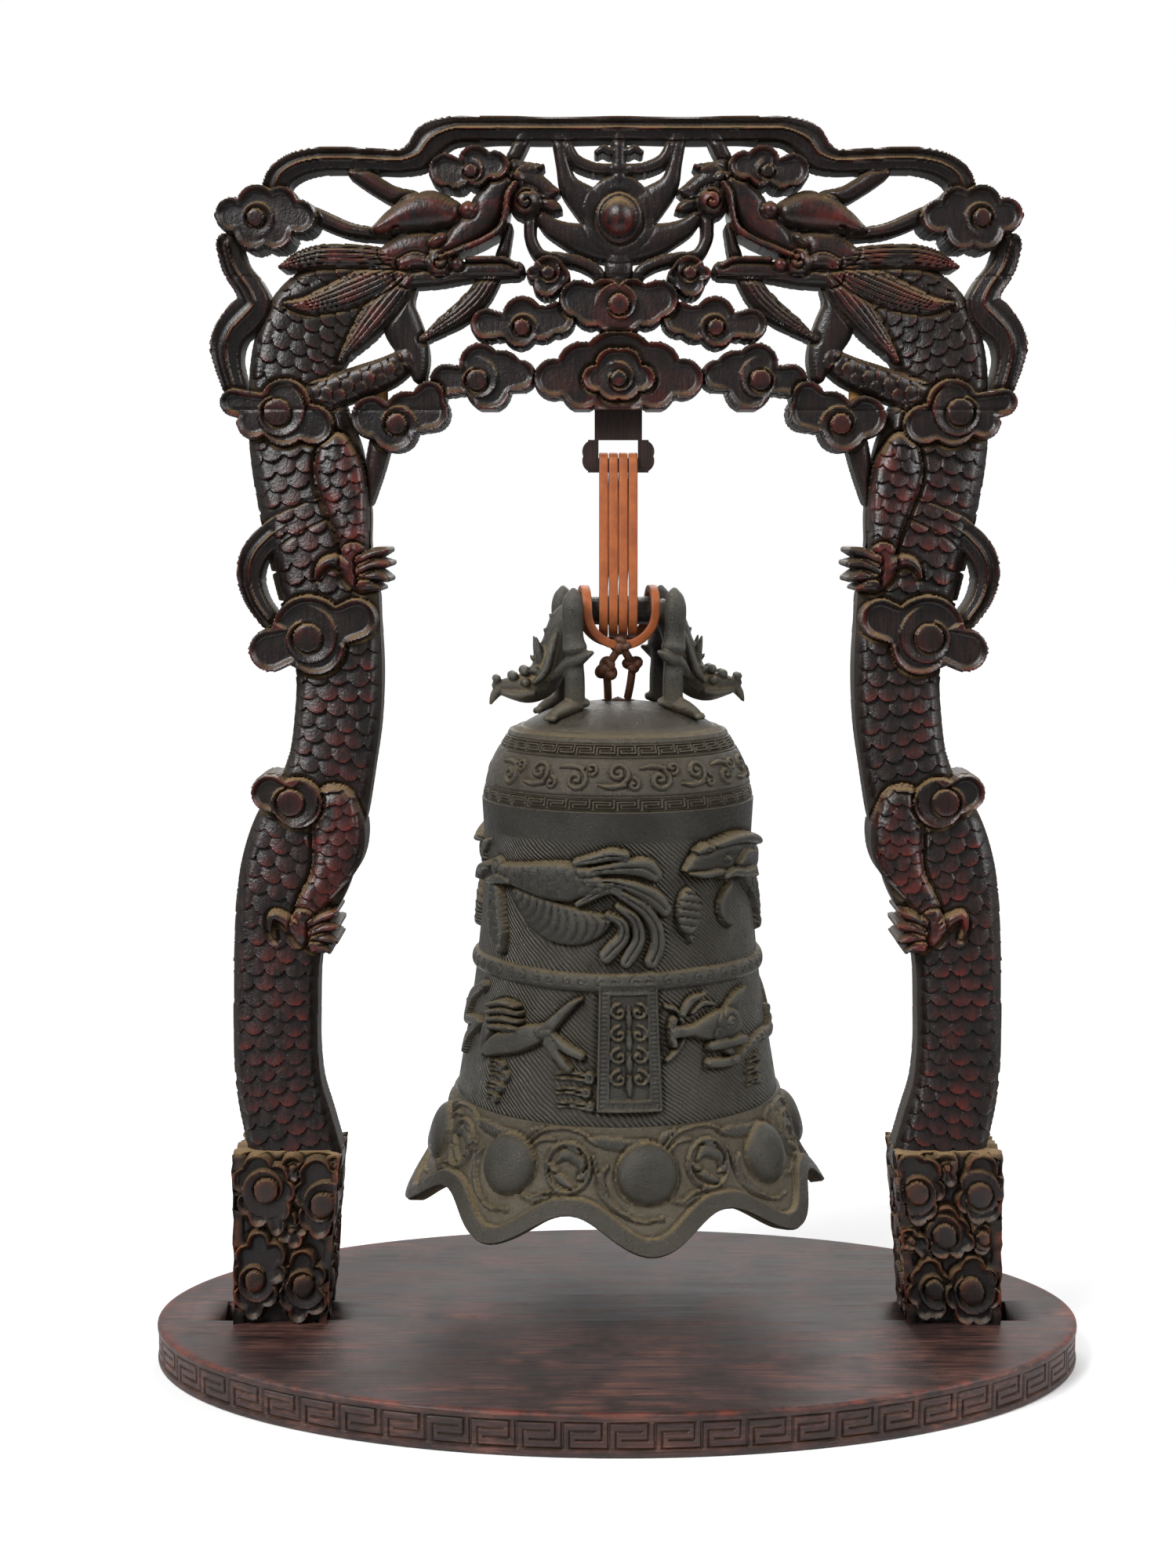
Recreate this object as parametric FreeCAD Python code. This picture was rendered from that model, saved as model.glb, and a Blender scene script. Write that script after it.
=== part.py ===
import FreeCAD, Part
import math
import os

os.makedirs("parts", exist_ok=True)

Vector = FreeCAD.Vector

# The base: an oval board with a recessed band round its edge and a mortise under each foot block
base_width = 333.4
base_depth = 184.8
base_height = 15.0
base_lip = 2.4
base_band_depth = 1.2
tenon_width = 28.0
tenon_thickness = 19.0
tenon_length = 10.0
mortise_extra = 5.0
joinery_clearance = 0.1

# The foot blocks: tapered, wider at the top, leaning outward at the bottom
block_height = 63.0
block_top_width = 39.6
block_bottom_width = 35.0
block_top_depth = 31.0
block_bottom_depth = 28.0
block_bottom_shift = 3.0
leg_tenon_width = 16.0
leg_tenon_thickness = 10.0
leg_tenon_length = 18.0

# The arch: two legs under a pierced panel of two boards
arch_height = 362.6
arch_half_width = 142.0
leg_thickness = 25.0
cloud_thickness = 24.0
dragon_thickness = 21.0
vine_thickness = 18.0
ribbon_thickness = 16.0
knob_rise = 1.6
pearl_rise = 4.0
leg_seam_height = 261.2
lower_board_height = 44.9
dowel_diameter = 6.0
dowel_length = 24.0
board_dowel_spacing = 150.0
leg_dowel_spacing = 36.0

# The hanger tab under the panel and the bar that carries the lace
tab_width = 16.4
tab_wing_width = 25.0
tab_thickness = 4.6
tab_drop = 21.2
tab_tenon_length = 10.0
tab_bar_height = 5.0
tab_bar_round = 1.8
tab_window_height = 6.2
tab_lobe_radius = 4.0

# The lace, its clearances and its knots
lace_thickness = 2.9
lace_gap = 0.5
lace_turns = 4
lace_clearance = 0.3
tie_spread = 12.0
tie_turn_radius = 11.7
tie_knot_radius = 3.3
lower_knot_radius = 4.2
lower_knot_drop = 8.6
lower_knot_spread = 4.7

# The bell
bell_turn = 8.5
bell_hang = 50.3
bell_height = 178.0
rim_radius = 75.6
rim_lobes = 8
rim_rise = 11.5
wall = 4.0
ledge_radius = 58.2
ledge_height = 39.7
ledge_step = 1.0
rope_radius = 49.8
rope_height = 87.2
rope_width = 5.0
rope_rise = 0.9
waist_radius = 47.2
waist_height = 129.0
shoulder_radius = 47.9
shoulder_height = 144.0
ring_radius = 36.7
dome_rise = 10.0
ring_step = 1.4
boss_radius = 10.4
boss_rise = 4.6
boss_height = 25.0
dome_hole_radius = 6.0
skirt_flare_share = 0.36
brow_share = 0.22
dome_middle_share = 0.62
dome_drop_share = 0.3
wave_points_per_lobe = 8
boss_sink_share = 0.3

# The crown: two dragon heads, a bar and four legs
crown_bar_radius = 6.0
crown_bar_rise = 31.4
crown_leg_radius = 3.8
crown_leg_spread = 17.8
crown_leg_reach = 13.0
crown_knee_rise = 4.0
crown_foot_radius = 6.6
crown_foot_height = 4.0
crown_neck_radius = 5.6
crown_head_reach = 34.0
crown_head_drop = 25.0
crown_head_radius = 8.0
crown_snout_length = 11.0
crown_snout_radius = 4.6
snout_root_share = 0.85
crown_horn_radius = 1.8
crown_horn_length = 14.0

# The clapper on its lace inside the bell
clapper_lace_drop = 66.0
clapper_lace_radius = 3.5
clapper_knot_radius = 3.0
clapper_eye_radius = 3.6
clapper_eye_thickness = 2.8
clapper_stem_radius = 2.4
clapper_stem_length = 44.0
clapper_ball_radius = 9.5

# One overrun for every cut
overrun = 2.0

# The view that the pixel places were read in: its lens and place, the place as shares of the arch height
lens_pixels = 2778.0
centre_row_pixels = 1000.0
view_tilt = 7.085
view_distance_share = 2.0794
view_height_share = 0.6233
axis_top_pixels = 794.0
axis_foot_pixels = 763.0
lean_start_pixels = 300.0
lean_span_pixels = 1170.0
panel_lean_share = 0.02
panel_foot_pixels = 540.0
reference_half_width_share = 0.3916

# Frame ribbons as rows of (across, down, half width) in pixels, left half
ribbon_pixels = {
    "top_rail": [(815, 161, 14), (700, 160, 14.5), (620, 158, 15), (574, 160, 17), (550, 172, 21),
                 (538, 188, 19), (520, 196, 14.5), (490, 196, 14), (440, 193, 14), (400, 194, 14.5),
                 (375, 201, 15.5), (358, 214, 16), (351, 234, 17)],
    "side_scroll": [(292, 300, 15), (300, 330, 16), (318, 358, 18), (324, 377, 20), (311, 392, 23),
                    (294, 410, 21), (286, 430, 20), (287, 450, 17), (293, 475, 15), (300, 500, 14)],
    "leg_scroll": [(408, 648, 13), (370, 664, 15), (337, 684, 17), (314, 712, 17), (309, 740, 15),
                   (317, 768, 13), (333, 792, 12)],
}

# The dragon's body, limbs, mane and head, left half
dragon_pixels = {
    "neck": [(368, 500, 55), (372, 465, 57), (382, 432, 60), (400, 402, 62), (430, 374, 56),
             (466, 352, 42), (505, 340, 28)],
    "crest": [(487, 284, 9), (512, 272, 18), (535, 264, 24), (556, 262, 25), (578, 266, 18)],
    "cheek": [(500, 316, 14), (528, 314, 26), (552, 312, 22), (572, 318, 16)],
    "snout": [(556, 322, 12), (588, 300, 15), (616, 280, 17), (638, 256, 18), (654, 240, 16),
              (672, 236, 12)],
    "lower_jaw": [(520, 346, 14), (560, 343, 15), (600, 339, 15), (640, 338, 16), (660, 341, 12)],
    "tooth": [(657, 280, 7), (655, 305, 7), (648, 330, 9)],
    "upper_horn": [(530, 246, 11), (505, 240, 11), (484, 228, 11), (466, 216, 11), (451, 211, 6)],
    "lower_horn": [(518, 291, 8), (482, 289, 8), (450, 284, 9), (425, 274, 10), (400, 262, 10)],
    "upper_mane": [(520, 326, 11), (490, 322, 14), (450, 318, 15), (410, 318, 15), (380, 324, 11),
                   (360, 331, 3)],
    "middle_mane": [(522, 334, 8), (492, 346, 17), (455, 361, 20), (418, 374, 16), (385, 381, 9),
                    (365, 378, 3)],
    "lower_mane": [(524, 344, 10), (504, 366, 18), (480, 394, 18), (458, 421, 13), (440, 443, 6),
                   (433, 453, 3)],
    "throat": [(512, 352, 22), (514, 380, 14), (512, 405, 24), (522, 430, 22), (530, 452, 16),
               (533, 474, 9)],
    "forearm": [(517, 452, 15), (494, 466, 19), (462, 478, 21), (430, 488, 21), (400, 500, 20)],
    "shank": [(481, 562, 14), (472, 598, 12), (463, 640, 6)],
    "upper_limb": [(424, 572, 22), (428, 600, 32), (437, 645, 27), (443, 680, 20), (445, 708, 16)],
    "upper_claw": [(398, 728, 4), (420, 723, 9), (445, 727, 17), (468, 728, 21), (486, 726, 16)],
    "lower_limb": [(412, 1030, 30), (416, 1060, 34), (414, 1092, 31), (399, 1124, 22),
                   (380, 1152, 18), (369, 1176, 15)],
    "lower_claw": [(326, 1180, 4), (345, 1182, 9), (370, 1190, 17), (393, 1188, 21),
                   (409, 1186, 16)],
}

# The slimmer strands and vines of the panel, left half
vine_pixels = {
    "whisker": [(630, 345, 13), (612, 372, 15), (588, 394, 14), (562, 411, 10), (540, 426, 5)],
    "chin_vine": [(686, 286, 9), (696, 314, 8), (715, 324, 8), (740, 328, 7), (760, 338, 7),
                  (771, 356, 6)],
    "crescent": [(688, 266, 8), (706, 290, 10), (732, 305, 14), (765, 314, 18), (812, 317, 19)],
    "lyre_arm": [(722, 166, 9), (729, 200, 10), (740, 228, 13), (758, 250, 18), (785, 266, 20)],
    "swag": [(733, 172, 7), (748, 193, 7), (770, 206, 6.5), (812, 209, 6)],
    "upper_post": [(797, 166, 13), (797, 205, 13), (797, 250, 18)],
    "lower_post": [(797, 320, 22), (797, 350, 22), (797, 400, 26), (797, 440, 34)],
    "nose_rib": [(677, 166, 11), (664, 198, 10), (650, 228, 13)],
    "nose_flame": [(680, 238, 14), (704, 250, 13), (716, 264, 10), (729, 274, 4)],
}

# Cloud lobes as rows of (across, down, radius) in pixels, left half
cloud_pixels = {
    "corner": [(331, 252, 27), (300, 264, 23), (326, 285, 25), (354, 286, 24), (386, 268, 22),
               (362, 250, 22)],
    "upper": [(577, 212, 22), (612, 203, 23), (632, 212, 20)],
    "nose": [(678, 262, 27), (688, 250, 22)],
    "middle": [(628, 409, 22), (668, 411, 28), (712, 408, 22)],
    "small": [(694, 344, 19), (707, 350, 23), (707, 365, 18)],
    "centre_upper": [(746, 384, 28), (770, 382, 27), (797, 388, 31)],
    "centre_lower": [(708, 483, 27), (745, 466, 36), (797, 472, 48), (756, 494, 31),
                     (797, 496, 31)],
    "lower": [(572, 476, 24), (612, 459, 28), (656, 476, 27), (630, 490, 29)],
    "seam_outer": [(362, 507, 33), (398, 534, 26), (360, 540, 30), (320, 530, 21), (296, 503, 18)],
    "seam_inner": [(473, 526, 28), (500, 548, 29), (516, 521, 28), (547, 521, 24), (547, 500, 20)],
    "leg_large": [(386, 808, 49), (446, 790, 27), (394, 824, 38), (336, 830, 28)],
    "leg_small": [(366, 1025, 33), (331, 1012, 25)],
}

# The round knob at the middle of each cloud, and the pearl
knob_pixels = [(330, 268, 11), (605, 214, 9), (666, 417, 17), (702, 346, 9), (801, 382, 12), (792, 484, 14),
               (608, 481, 15), (352, 517, 17), (504, 541, 13), (384, 814, 18), (357, 1024, 17)]
pearl_pixels = (797, 275, 27)
pearl_disc_pixels = (797, 277, 42)

# The dragon's body down the leg
leg_pixels = [(377, 545, 66), (388, 600, 72), (396, 650, 70), (402, 700, 63), (411, 750, 62),
              (418, 800, 57), (421, 860, 55), (417, 920, 55), (408, 975, 55), (394, 1025, 60),
              (374, 1070, 70), (358, 1115, 70), (341, 1165, 60), (332, 1225, 55), (329, 1290, 54),
              (328, 1350, 54), (332, 1400, 55), (341, 1440, 57), (351, 1482, 58)]

# The middle of each foot block's top, of the seam over the leg, and the seam's inner end, left half
foot_pixels = (341, 1483)
seam_middle_pixels = (412, 525)
seam_end_pixels = (576, 525)

# Heights that follow from the ones above
block_top = base_height + block_height
arch_top = block_top + arch_height
leg_seam = block_top + leg_seam_height
board_seam = leg_seam + lower_board_height
lace_pitch = lace_thickness + lace_gap
winding_width = lace_turns * lace_pitch - lace_gap
tab_bar_depth = tab_thickness
tab_bar_z = leg_seam - tab_drop + tab_bar_height / 2
crown_bar_z = tab_bar_z - bell_hang
rim_z = crown_bar_z - crown_bar_rise - bell_height
dome_top = rim_z + bell_height


def picture_scale(down):
    """Millimetres across and up for one pixel of the view at this row."""
    slope = math.tan(math.radians(view_tilt) + math.atan((down - centre_row_pixels) / lens_pixels))
    drop_share = view_distance_share * slope
    tilt = math.radians(view_tilt)
    depth_share = view_distance_share * math.cos(tilt) + drop_share * math.sin(tilt)
    return depth_share / lens_pixels * arch_half_width / reference_half_width_share


def picture_point(across, down):
    """The place on the arch's front plane that the view shows at this pixel, left half."""
    past = max(down - lean_start_pixels, 0) / lean_span_pixels
    axis = axis_top_pixels - past * (axis_top_pixels - axis_foot_pixels)
    if down < panel_foot_pixels:
        down = down + (axis_top_pixels - across) * panel_lean_share
    slope = math.tan(math.radians(view_tilt) + math.atan((down - centre_row_pixels) / lens_pixels))
    rise_share = view_height_share - view_distance_share * slope
    return Vector((across - axis) * picture_scale(down), 0, block_top + rise_share * arch_height)


def box(x_span, y_span, z_span):
    """A box between two limits on each axis."""
    corner = Vector(x_span[0], y_span[0], z_span[0])
    size = [span[1] - span[0] for span in (x_span, y_span, z_span)]
    return Part.makeBox(size[0], size[1], size[2], corner)


def centred(width):
    """The two limits of a span that is centred on zero."""
    return (-width / 2, width / 2)


def fuse_all(shapes):
    """One clean solid from shapes that meet."""
    whole = shapes[0].multiFuse(shapes[1:]) if len(shapes) > 1 else shapes[0]
    return whole.removeSplitter()


def save(name, shapes):
    """Write the named piece, as one solid or as a group of separate ones."""
    whole = Part.makeCompound(shapes) if len(shapes) > 1 else shapes[0]
    solids = whole.Solids
    print(name, len(solids), [round(solid.Volume) for solid in solids][:6], whole.isValid())
    Part.makeCompound(solids).exportStep("parts/" + name + ".step")


def stroke_face(rows):
    """A flat band of varying width along a line of (across, down, half width) places, with round ends."""
    centres = [picture_point(across, down) for across, down, half in rows]
    halves = [half * picture_scale(down) for across, down, half in rows]
    last = len(centres) - 1
    left, right = [], []
    for index, centre in enumerate(centres):
        along = (centres[min(index + 1, last)] - centres[max(index - 1, 0)]).normalize()
        normal = Vector(-along.z, 0, along.x)
        left.append(centre + normal * halves[index])
        right.append(centre - normal * halves[index])
    start_along = (centres[0] - centres[1]).normalize()
    end_along = (centres[last] - centres[last - 1]).normalize()
    sides = [Part.BSplineCurve(), Part.BSplineCurve()]
    sides[0].interpolate(left)
    sides[1].interpolate(right[::-1])
    end_cap = Part.Arc(left[last], centres[last] + end_along * halves[last], right[last])
    start_cap = Part.Arc(right[0], centres[0] + start_along * halves[0], left[0])
    edges = [sides[0].toShape(), end_cap.toShape(), sides[1].toShape(), start_cap.toShape()]
    return Part.Face(Part.Wire(edges))


def disc_face(across, down, radius):
    """A flat disc at a place in the view."""
    circle = Part.Circle(picture_point(across, down), Vector(0, 1, 0), radius * picture_scale(down))
    return Part.Face(Part.Wire(circle.toShape()))


def slab(faces, thickness):
    """The faces of one half and their mirror images, made one board of this thickness."""
    flat = faces[0].multiFuse(faces[1:]).removeSplitter()
    lift = Vector(0, thickness, 0)
    solids = [face.translated(lift * -0.5).extrude(lift) for face in flat.Faces]
    return fuse_all(solids)


# The base board: an oval, its edge recessed between two lips, with a mortise for each foot
def oval(shrink, low, high):
    outline = Part.Ellipse(Vector(0, 0, low), base_width / 2 - shrink, base_depth / 2 - shrink)
    return Part.Face(Part.Wire(outline.toShape())).extrude(Vector(0, 0, high - low))


foot_centre = picture_point(foot_pixels[0], foot_pixels[1]).x
foot_bottom_centre = foot_centre - block_bottom_shift
base_board = oval(base_band_depth, 0, base_height)
for low in (0, base_height - base_lip):
    base_board = base_board.fuse(oval(0, low, low + base_lip))
mortise_end = block_bottom_width / 2 + mortise_extra
mortise_half = tenon_thickness / 2 + joinery_clearance
mortise_floor = base_height - tenon_length - joinery_clearance
mortise = box((foot_bottom_centre - mortise_end, foot_bottom_centre + tenon_width / 2 + joinery_clearance),
              (-mortise_half, mortise_half), (mortise_floor, base_height + overrun))
mirror_plane = (Vector(0, 0, 0), Vector(1, 0, 0))
base_board = base_board.removeSplitter().cut(mortise).cut(mortise.mirror(*mirror_plane))
save("base_board", [base_board])


# The foot blocks: a tenon below, a socket on top for the leg's own tenon
def block_ring(centre, width, depth, z):
    places = [(-1, -1), (1, -1), (1, 1), (-1, 1), (-1, -1)]
    return Part.makePolygon([Vector(centre + a * width / 2, b * depth / 2, z) for a, b in places])


block = Part.makeLoft([block_ring(foot_bottom_centre, block_bottom_width, block_bottom_depth, base_height),
                       block_ring(foot_centre, block_top_width, block_top_depth, block_top)], True, True)
block_tenon = box((foot_bottom_centre - tenon_width / 2, foot_bottom_centre + tenon_width / 2),
                  centred(tenon_thickness), (base_height - tenon_length, base_height + overrun))
leg_tenon_span = (foot_centre - leg_tenon_width / 2, foot_centre + leg_tenon_width / 2)
leg_tenon_end = block_top - leg_tenon_length
leg_tenon = box(leg_tenon_span, centred(leg_tenon_thickness), (leg_tenon_end, block_top + overrun))
leg_socket = box((leg_tenon_span[0] - joinery_clearance, leg_tenon_span[1] + joinery_clearance),
                 centred(leg_tenon_thickness + 2 * joinery_clearance),
                 (leg_tenon_end - joinery_clearance, block_top + overrun))
foot_block_left = block.fuse(block_tenon).removeSplitter().cut(leg_socket)
save("foot_block_left", [foot_block_left])
save("foot_block_right", [foot_block_left.mirror(*mirror_plane)])

# The arch pattern: every carved form of one half, each kind at its own thickness, then the other half
half_arch = fuse_all([
    slab([stroke_face(rows) for rows in dragon_pixels.values()], dragon_thickness),
    slab([stroke_face(rows) for rows in ribbon_pixels.values()], ribbon_thickness),
    slab([stroke_face(rows) for rows in vine_pixels.values()], vine_thickness),
    slab([disc_face(*row) for rows in cloud_pixels.values() for row in rows], cloud_thickness),
    slab([stroke_face(leg_pixels)], leg_thickness),
])
knobs = slab([disc_face(*row) for row in knob_pixels], cloud_thickness + 2 * knob_rise)
pearl = slab([disc_face(*pearl_pixels)], dragon_thickness + 2 * pearl_rise)
pearl_disc = slab([disc_face(*pearl_disc_pixels)], dragon_thickness)
half_arch = fuse_all([half_arch, knobs, pearl, pearl_disc])
whole_arch = fuse_all([half_arch, half_arch.mirror(*mirror_plane)])
reach = arch_half_width + overrun
thick_span = centred(leg_thickness + 2 * overrun)


def arch_part(x_span, z_span):
    """The arch between two heights."""
    return whole_arch.common(box(x_span, thick_span, z_span)).Solids


# The dowels that hold the panel to the legs and the two boards to each other
def dowel(x, z):
    radius = dowel_diameter / 2
    return Part.makeCylinder(radius, dowel_length, Vector(x, 0, z - dowel_length / 2))


seam_middle = picture_point(*seam_middle_pixels).x
left_dowels = [dowel(seam_middle + side * leg_dowel_spacing / 2, leg_seam) for side in (-1, 1)]
right_dowels = [piece.mirror(*mirror_plane) for piece in left_dowels]
board_dowels = [dowel(side * board_dowel_spacing / 2, board_seam) for side in (-1, 1)]
save("leg_dowels_left", left_dowels)
save("leg_dowels_right", right_dowels)
save("board_dowels", board_dowels)

# The hanger tab: a tenon in the panel, a stem, a lobed frame and the bar under its window
tab_bottom = leg_seam - tab_drop
window_low = tab_bottom + tab_bar_height
window_high = window_low + tab_window_height
window_width = winding_width + 2 * lace_clearance
tab_stem = box(centred(tab_width), centred(tab_thickness), (window_low, leg_seam + tab_tenon_length))
tab_wings = box(centred(tab_wing_width - tab_lobe_radius), centred(tab_thickness), (tab_bottom, window_high))
tab_lobes = []
for side in (-1, 1):
    for rise in (tab_lobe_radius, tab_bar_height + tab_window_height - tab_lobe_radius):
        place = Vector(side * (tab_wing_width / 2 - tab_lobe_radius), -tab_thickness / 2, tab_bottom + rise)
        tab_lobes.append(Part.makeCylinder(tab_lobe_radius, tab_thickness, place, Vector(0, 1, 0)))
hanger_tab = fuse_all([tab_stem, tab_wings] + tab_lobes)
hanger_tab = hanger_tab.cut(box(centred(window_width), thick_span, (window_low, window_high)))


def is_bar_edge(edge):
    """True for the bar's four long edges, two at the window and two beside the tab's own underside."""
    ends = [vertex.Point for vertex in edge.Vertexes]
    if len(ends) < 2 or abs(ends[0].z - ends[1].z) > overrun or abs(ends[0].x - ends[1].x) < winding_width:
        return False
    return abs(ends[0].z - tab_bar_z) < tab_bar_height / 2 + joinery_clearance


hanger_tab = hanger_tab.makeFillet(tab_bar_round, [edge for edge in hanger_tab.Edges if is_bar_edge(edge)])
tab_socket = box(centred(tab_width + 2 * joinery_clearance), centred(tab_thickness + 2 * joinery_clearance),
                 (leg_seam - overrun, leg_seam + tab_tenon_length + joinery_clearance))
save("hanger_tab", [hanger_tab])

# The arch cut at its two seams, with the dowel holes and the tab's socket
dowel_holes = left_dowels + right_dowels + board_dowels


def without(solids, tools):
    """Solids with every tool cut away."""
    return [solid.cut(tools[0].multiFuse(tools[1:])) for solid in solids]


upper_board = arch_part((-reach, reach), (board_seam, arch_top + overrun))
lower_board = arch_part((-reach, reach), (leg_seam, board_seam))
save("arch_upper_board", without(upper_board, dowel_holes))
save("arch_lower_board", without(lower_board, dowel_holes + [tab_socket]))
left_leg = arch_part((-reach, picture_point(*seam_end_pixels).x), (block_top, leg_seam))
left_leg = without([fuse_all(left_leg + [leg_tenon])], dowel_holes)
save("leg_left", left_leg)
save("leg_right", [solid.mirror(*mirror_plane) for solid in left_leg])


# The bell: a cast shell turned about its axis, its rim cut into lobes, with a boss over each lobe
def smooth(places):
    """One smooth edge through (radius, height) places."""
    curve = Part.BSplineCurve()
    curve.interpolate([Vector(radius, 0, z) for radius, z in places])
    return curve.toShape()


def line(start, end):
    """A straight edge between two (radius, height) places."""
    return Part.makeLine(Vector(start[0], 0, start[1]), Vector(end[0], 0, end[1]))


def turned_shell(inset):
    """The bell's outer form drawn in by this much and turned full circle, open at neither end."""
    rim = (rim_radius - inset, rim_z)
    flare_radius = ledge_radius + (rim_radius - ledge_radius) * skirt_flare_share
    flare = (flare_radius - inset, rim_z + ledge_height / 2)
    ledge = (ledge_radius - inset, rim_z + ledge_height)
    body_low = (ledge_radius - ledge_step - inset, rim_z + ledge_height)
    rope = (rope_radius - inset, rim_z + rope_height)
    waist = (waist_radius - inset, rim_z + waist_height)
    shoulder = (shoulder_radius - inset, rim_z + shoulder_height)
    ring = (ring_radius + ring_step - inset, dome_top - dome_rise)
    brow_radius = (shoulder_radius + ring_radius) / 2 + (shoulder_radius - ring_radius) * brow_share
    brow = (brow_radius - inset, (shoulder[1] + ring[1]) / 2)
    dome_foot = (ring_radius - inset, dome_top - dome_rise)
    dome_drop = (dome_top - ring[1]) * dome_drop_share
    dome_middle = (ring_radius * dome_middle_share, dome_top - dome_drop - inset)
    dome_end = (0, dome_top - inset)
    edges = [smooth([rim, flare, ledge])]
    if inset == 0:
        edges.append(line(ledge, body_low))
        edges.append(smooth([body_low, rope, waist, shoulder]))
        edges.append(smooth([shoulder, brow, ring]))
        edges.append(line(ring, dome_foot))
    else:
        edges.append(smooth([ledge, rope, waist, shoulder]))
        edges.append(smooth([shoulder, brow, (ring_radius - inset, ring[1])]))
    dome = Part.Arc(Vector(dome_foot[0], 0, dome_foot[1]), Vector(dome_middle[0], 0, dome_middle[1]),
                    Vector(0, 0, dome_end[1]))
    edges.append(dome.toShape())
    edges.append(line(dome_end, (0, rim_z)))
    edges.append(line((0, rim_z), rim))
    return Part.Face(Part.Wire(edges)).revolve(Vector(0, 0, 0), Vector(0, 0, 1), 360)


def wave_ring(radius, base, swing):
    """A closed curve round the bell at this radius that rises between the lobes."""
    steps = rim_lobes * wave_points_per_lobe
    places = []
    for step in range(steps):
        turn = 2 * math.pi * step / steps
        rise = swing * (1 - math.cos(rim_lobes * turn)) / 2
        places.append(Vector(radius * math.sin(turn), -radius * math.cos(turn), base + rise))
    curve = Part.BSplineCurve()
    curve.interpolate(places, PeriodicFlag=True)
    return Part.Wire(curve.toShape())


wave_outside = rim_radius + overrun
wave_inside = ledge_radius / 2
wave_floor = rim_z - rim_rise
wave_rings = [wave_ring(wave_outside, rim_z, rim_rise), wave_ring(wave_inside, rim_z, rim_rise),
              wave_ring(wave_inside, wave_floor, 0), wave_ring(wave_outside, wave_floor, 0)]
wave_cutter = Part.makeLoft(wave_rings, True, True, True)
boss_ball_radius = (boss_radius ** 2 + boss_rise ** 2) / (2 * boss_rise)
skirt_slope = (rim_radius - ledge_radius) / ledge_height
boss_wall_radius = rim_radius - skirt_slope * boss_height - boss_sink_share * boss_rise
bosses = []
for lobe in range(rim_lobes):
    turn = 2 * math.pi * lobe / rim_lobes
    centre_radius = boss_wall_radius + boss_rise - boss_ball_radius
    place = Vector(centre_radius * math.sin(turn), -centre_radius * math.cos(turn), rim_z + boss_height)
    bosses.append(Part.makeSphere(boss_ball_radius, place))
rope_centre = Vector(0, 0, rim_z + rope_height)
rope_ring = Part.makeTorus(rope_radius - rope_width / 2 + rope_rise, rope_width / 2, rope_centre)
bell = turned_shell(0).multiFuse(bosses + [rope_ring])
dome_hole = Part.makeCylinder(dome_hole_radius, 2 * wall + overrun, Vector(0, 0, dome_top - 2 * wall))
bell = bell.cut(turned_shell(wall)).cut(wave_cutter).cut(dome_hole)
bell_axis = (Vector(0, 0, 0), Vector(0, 0, 1))
bell_body = bell.rotate(*bell_axis, bell_turn)
save("bell_body", bell_body.Solids)


def on_bell(shape):
    """The shape turned with the bell."""
    return shape.rotate(*bell_axis, bell_turn)


def between(start, end, radius, end_radius=None):
    """A round bar or taper from one place to another."""
    along = end - start
    if end_radius is None:
        return Part.makeCylinder(radius, along.Length, start, along)
    return Part.makeCone(radius, end_radius, along.Length, start, along)


# The crown: bar and posts, then a neck, head, snout and horn at each end, standing on the dome
crown_parts = [between(Vector(-crown_leg_spread, 0, crown_bar_z), Vector(crown_leg_spread, 0, crown_bar_z),
                       crown_bar_radius)]
knee_z = crown_bar_z + crown_knee_rise
for side in (-1, 1):
    shoulder_place = Vector(side * crown_leg_spread, 0, crown_bar_z)
    head_place = Vector(side * crown_head_reach, 0, crown_bar_z - crown_head_drop)
    snout_end = head_place + Vector(side * crown_snout_length, 0, -crown_snout_radius / 2)
    horn_foot = head_place + Vector(-side * crown_head_radius / 2, 0, crown_head_radius / 2)
    horn_tip = horn_foot + Vector(-side * crown_horn_radius, 0, crown_horn_length)
    crown_parts += [Part.makeSphere(crown_bar_radius, shoulder_place),
                    between(shoulder_place, head_place, crown_neck_radius),
                    Part.makeSphere(crown_head_radius, head_place),
                    between(head_place, snout_end, crown_head_radius * snout_root_share, crown_snout_radius),
                    between(horn_foot, horn_tip, crown_horn_radius, crown_horn_radius / 3)]
    for front in (-1, 1):
        leg_place = Vector(side * crown_leg_spread, front * crown_leg_reach, knee_z)
        leg_foot = Vector(leg_place.x, leg_place.y, dome_top - ring_radius / 2)
        foot_top = Vector(leg_place.x, leg_place.y, dome_top + crown_foot_height - ring_step)
        crown_parts += [Part.makeSphere(crown_leg_radius, leg_place),
                        between(leg_place, leg_foot, crown_leg_radius),
                        between(shoulder_place, leg_place, crown_leg_radius),
                        between(foot_top, leg_foot, crown_leg_radius, crown_foot_radius)]
crown = fuse_all(crown_parts).cut(turned_shell(0))
bell_crown = [solid for solid in crown.Solids if solid.BoundBox.ZMax > crown_bar_z]
save("bell_crown", [on_bell(solid) for solid in bell_crown])


def tube(edges, radius):
    """A round tube swept along tangent edges, from a disc square to the first one."""
    path = Part.Wire(edges)
    start = edges[0].valueAt(edges[0].FirstParameter)
    along = edges[0].tangentAt(edges[0].FirstParameter)
    disc = Part.Wire(Part.Circle(start, along, radius).toShape())
    return path.makePipeShell([disc], True, False)


def arc(start, middle, end):
    """A round stretch through three places."""
    return Part.Arc(start, middle, end).toShape()


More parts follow.
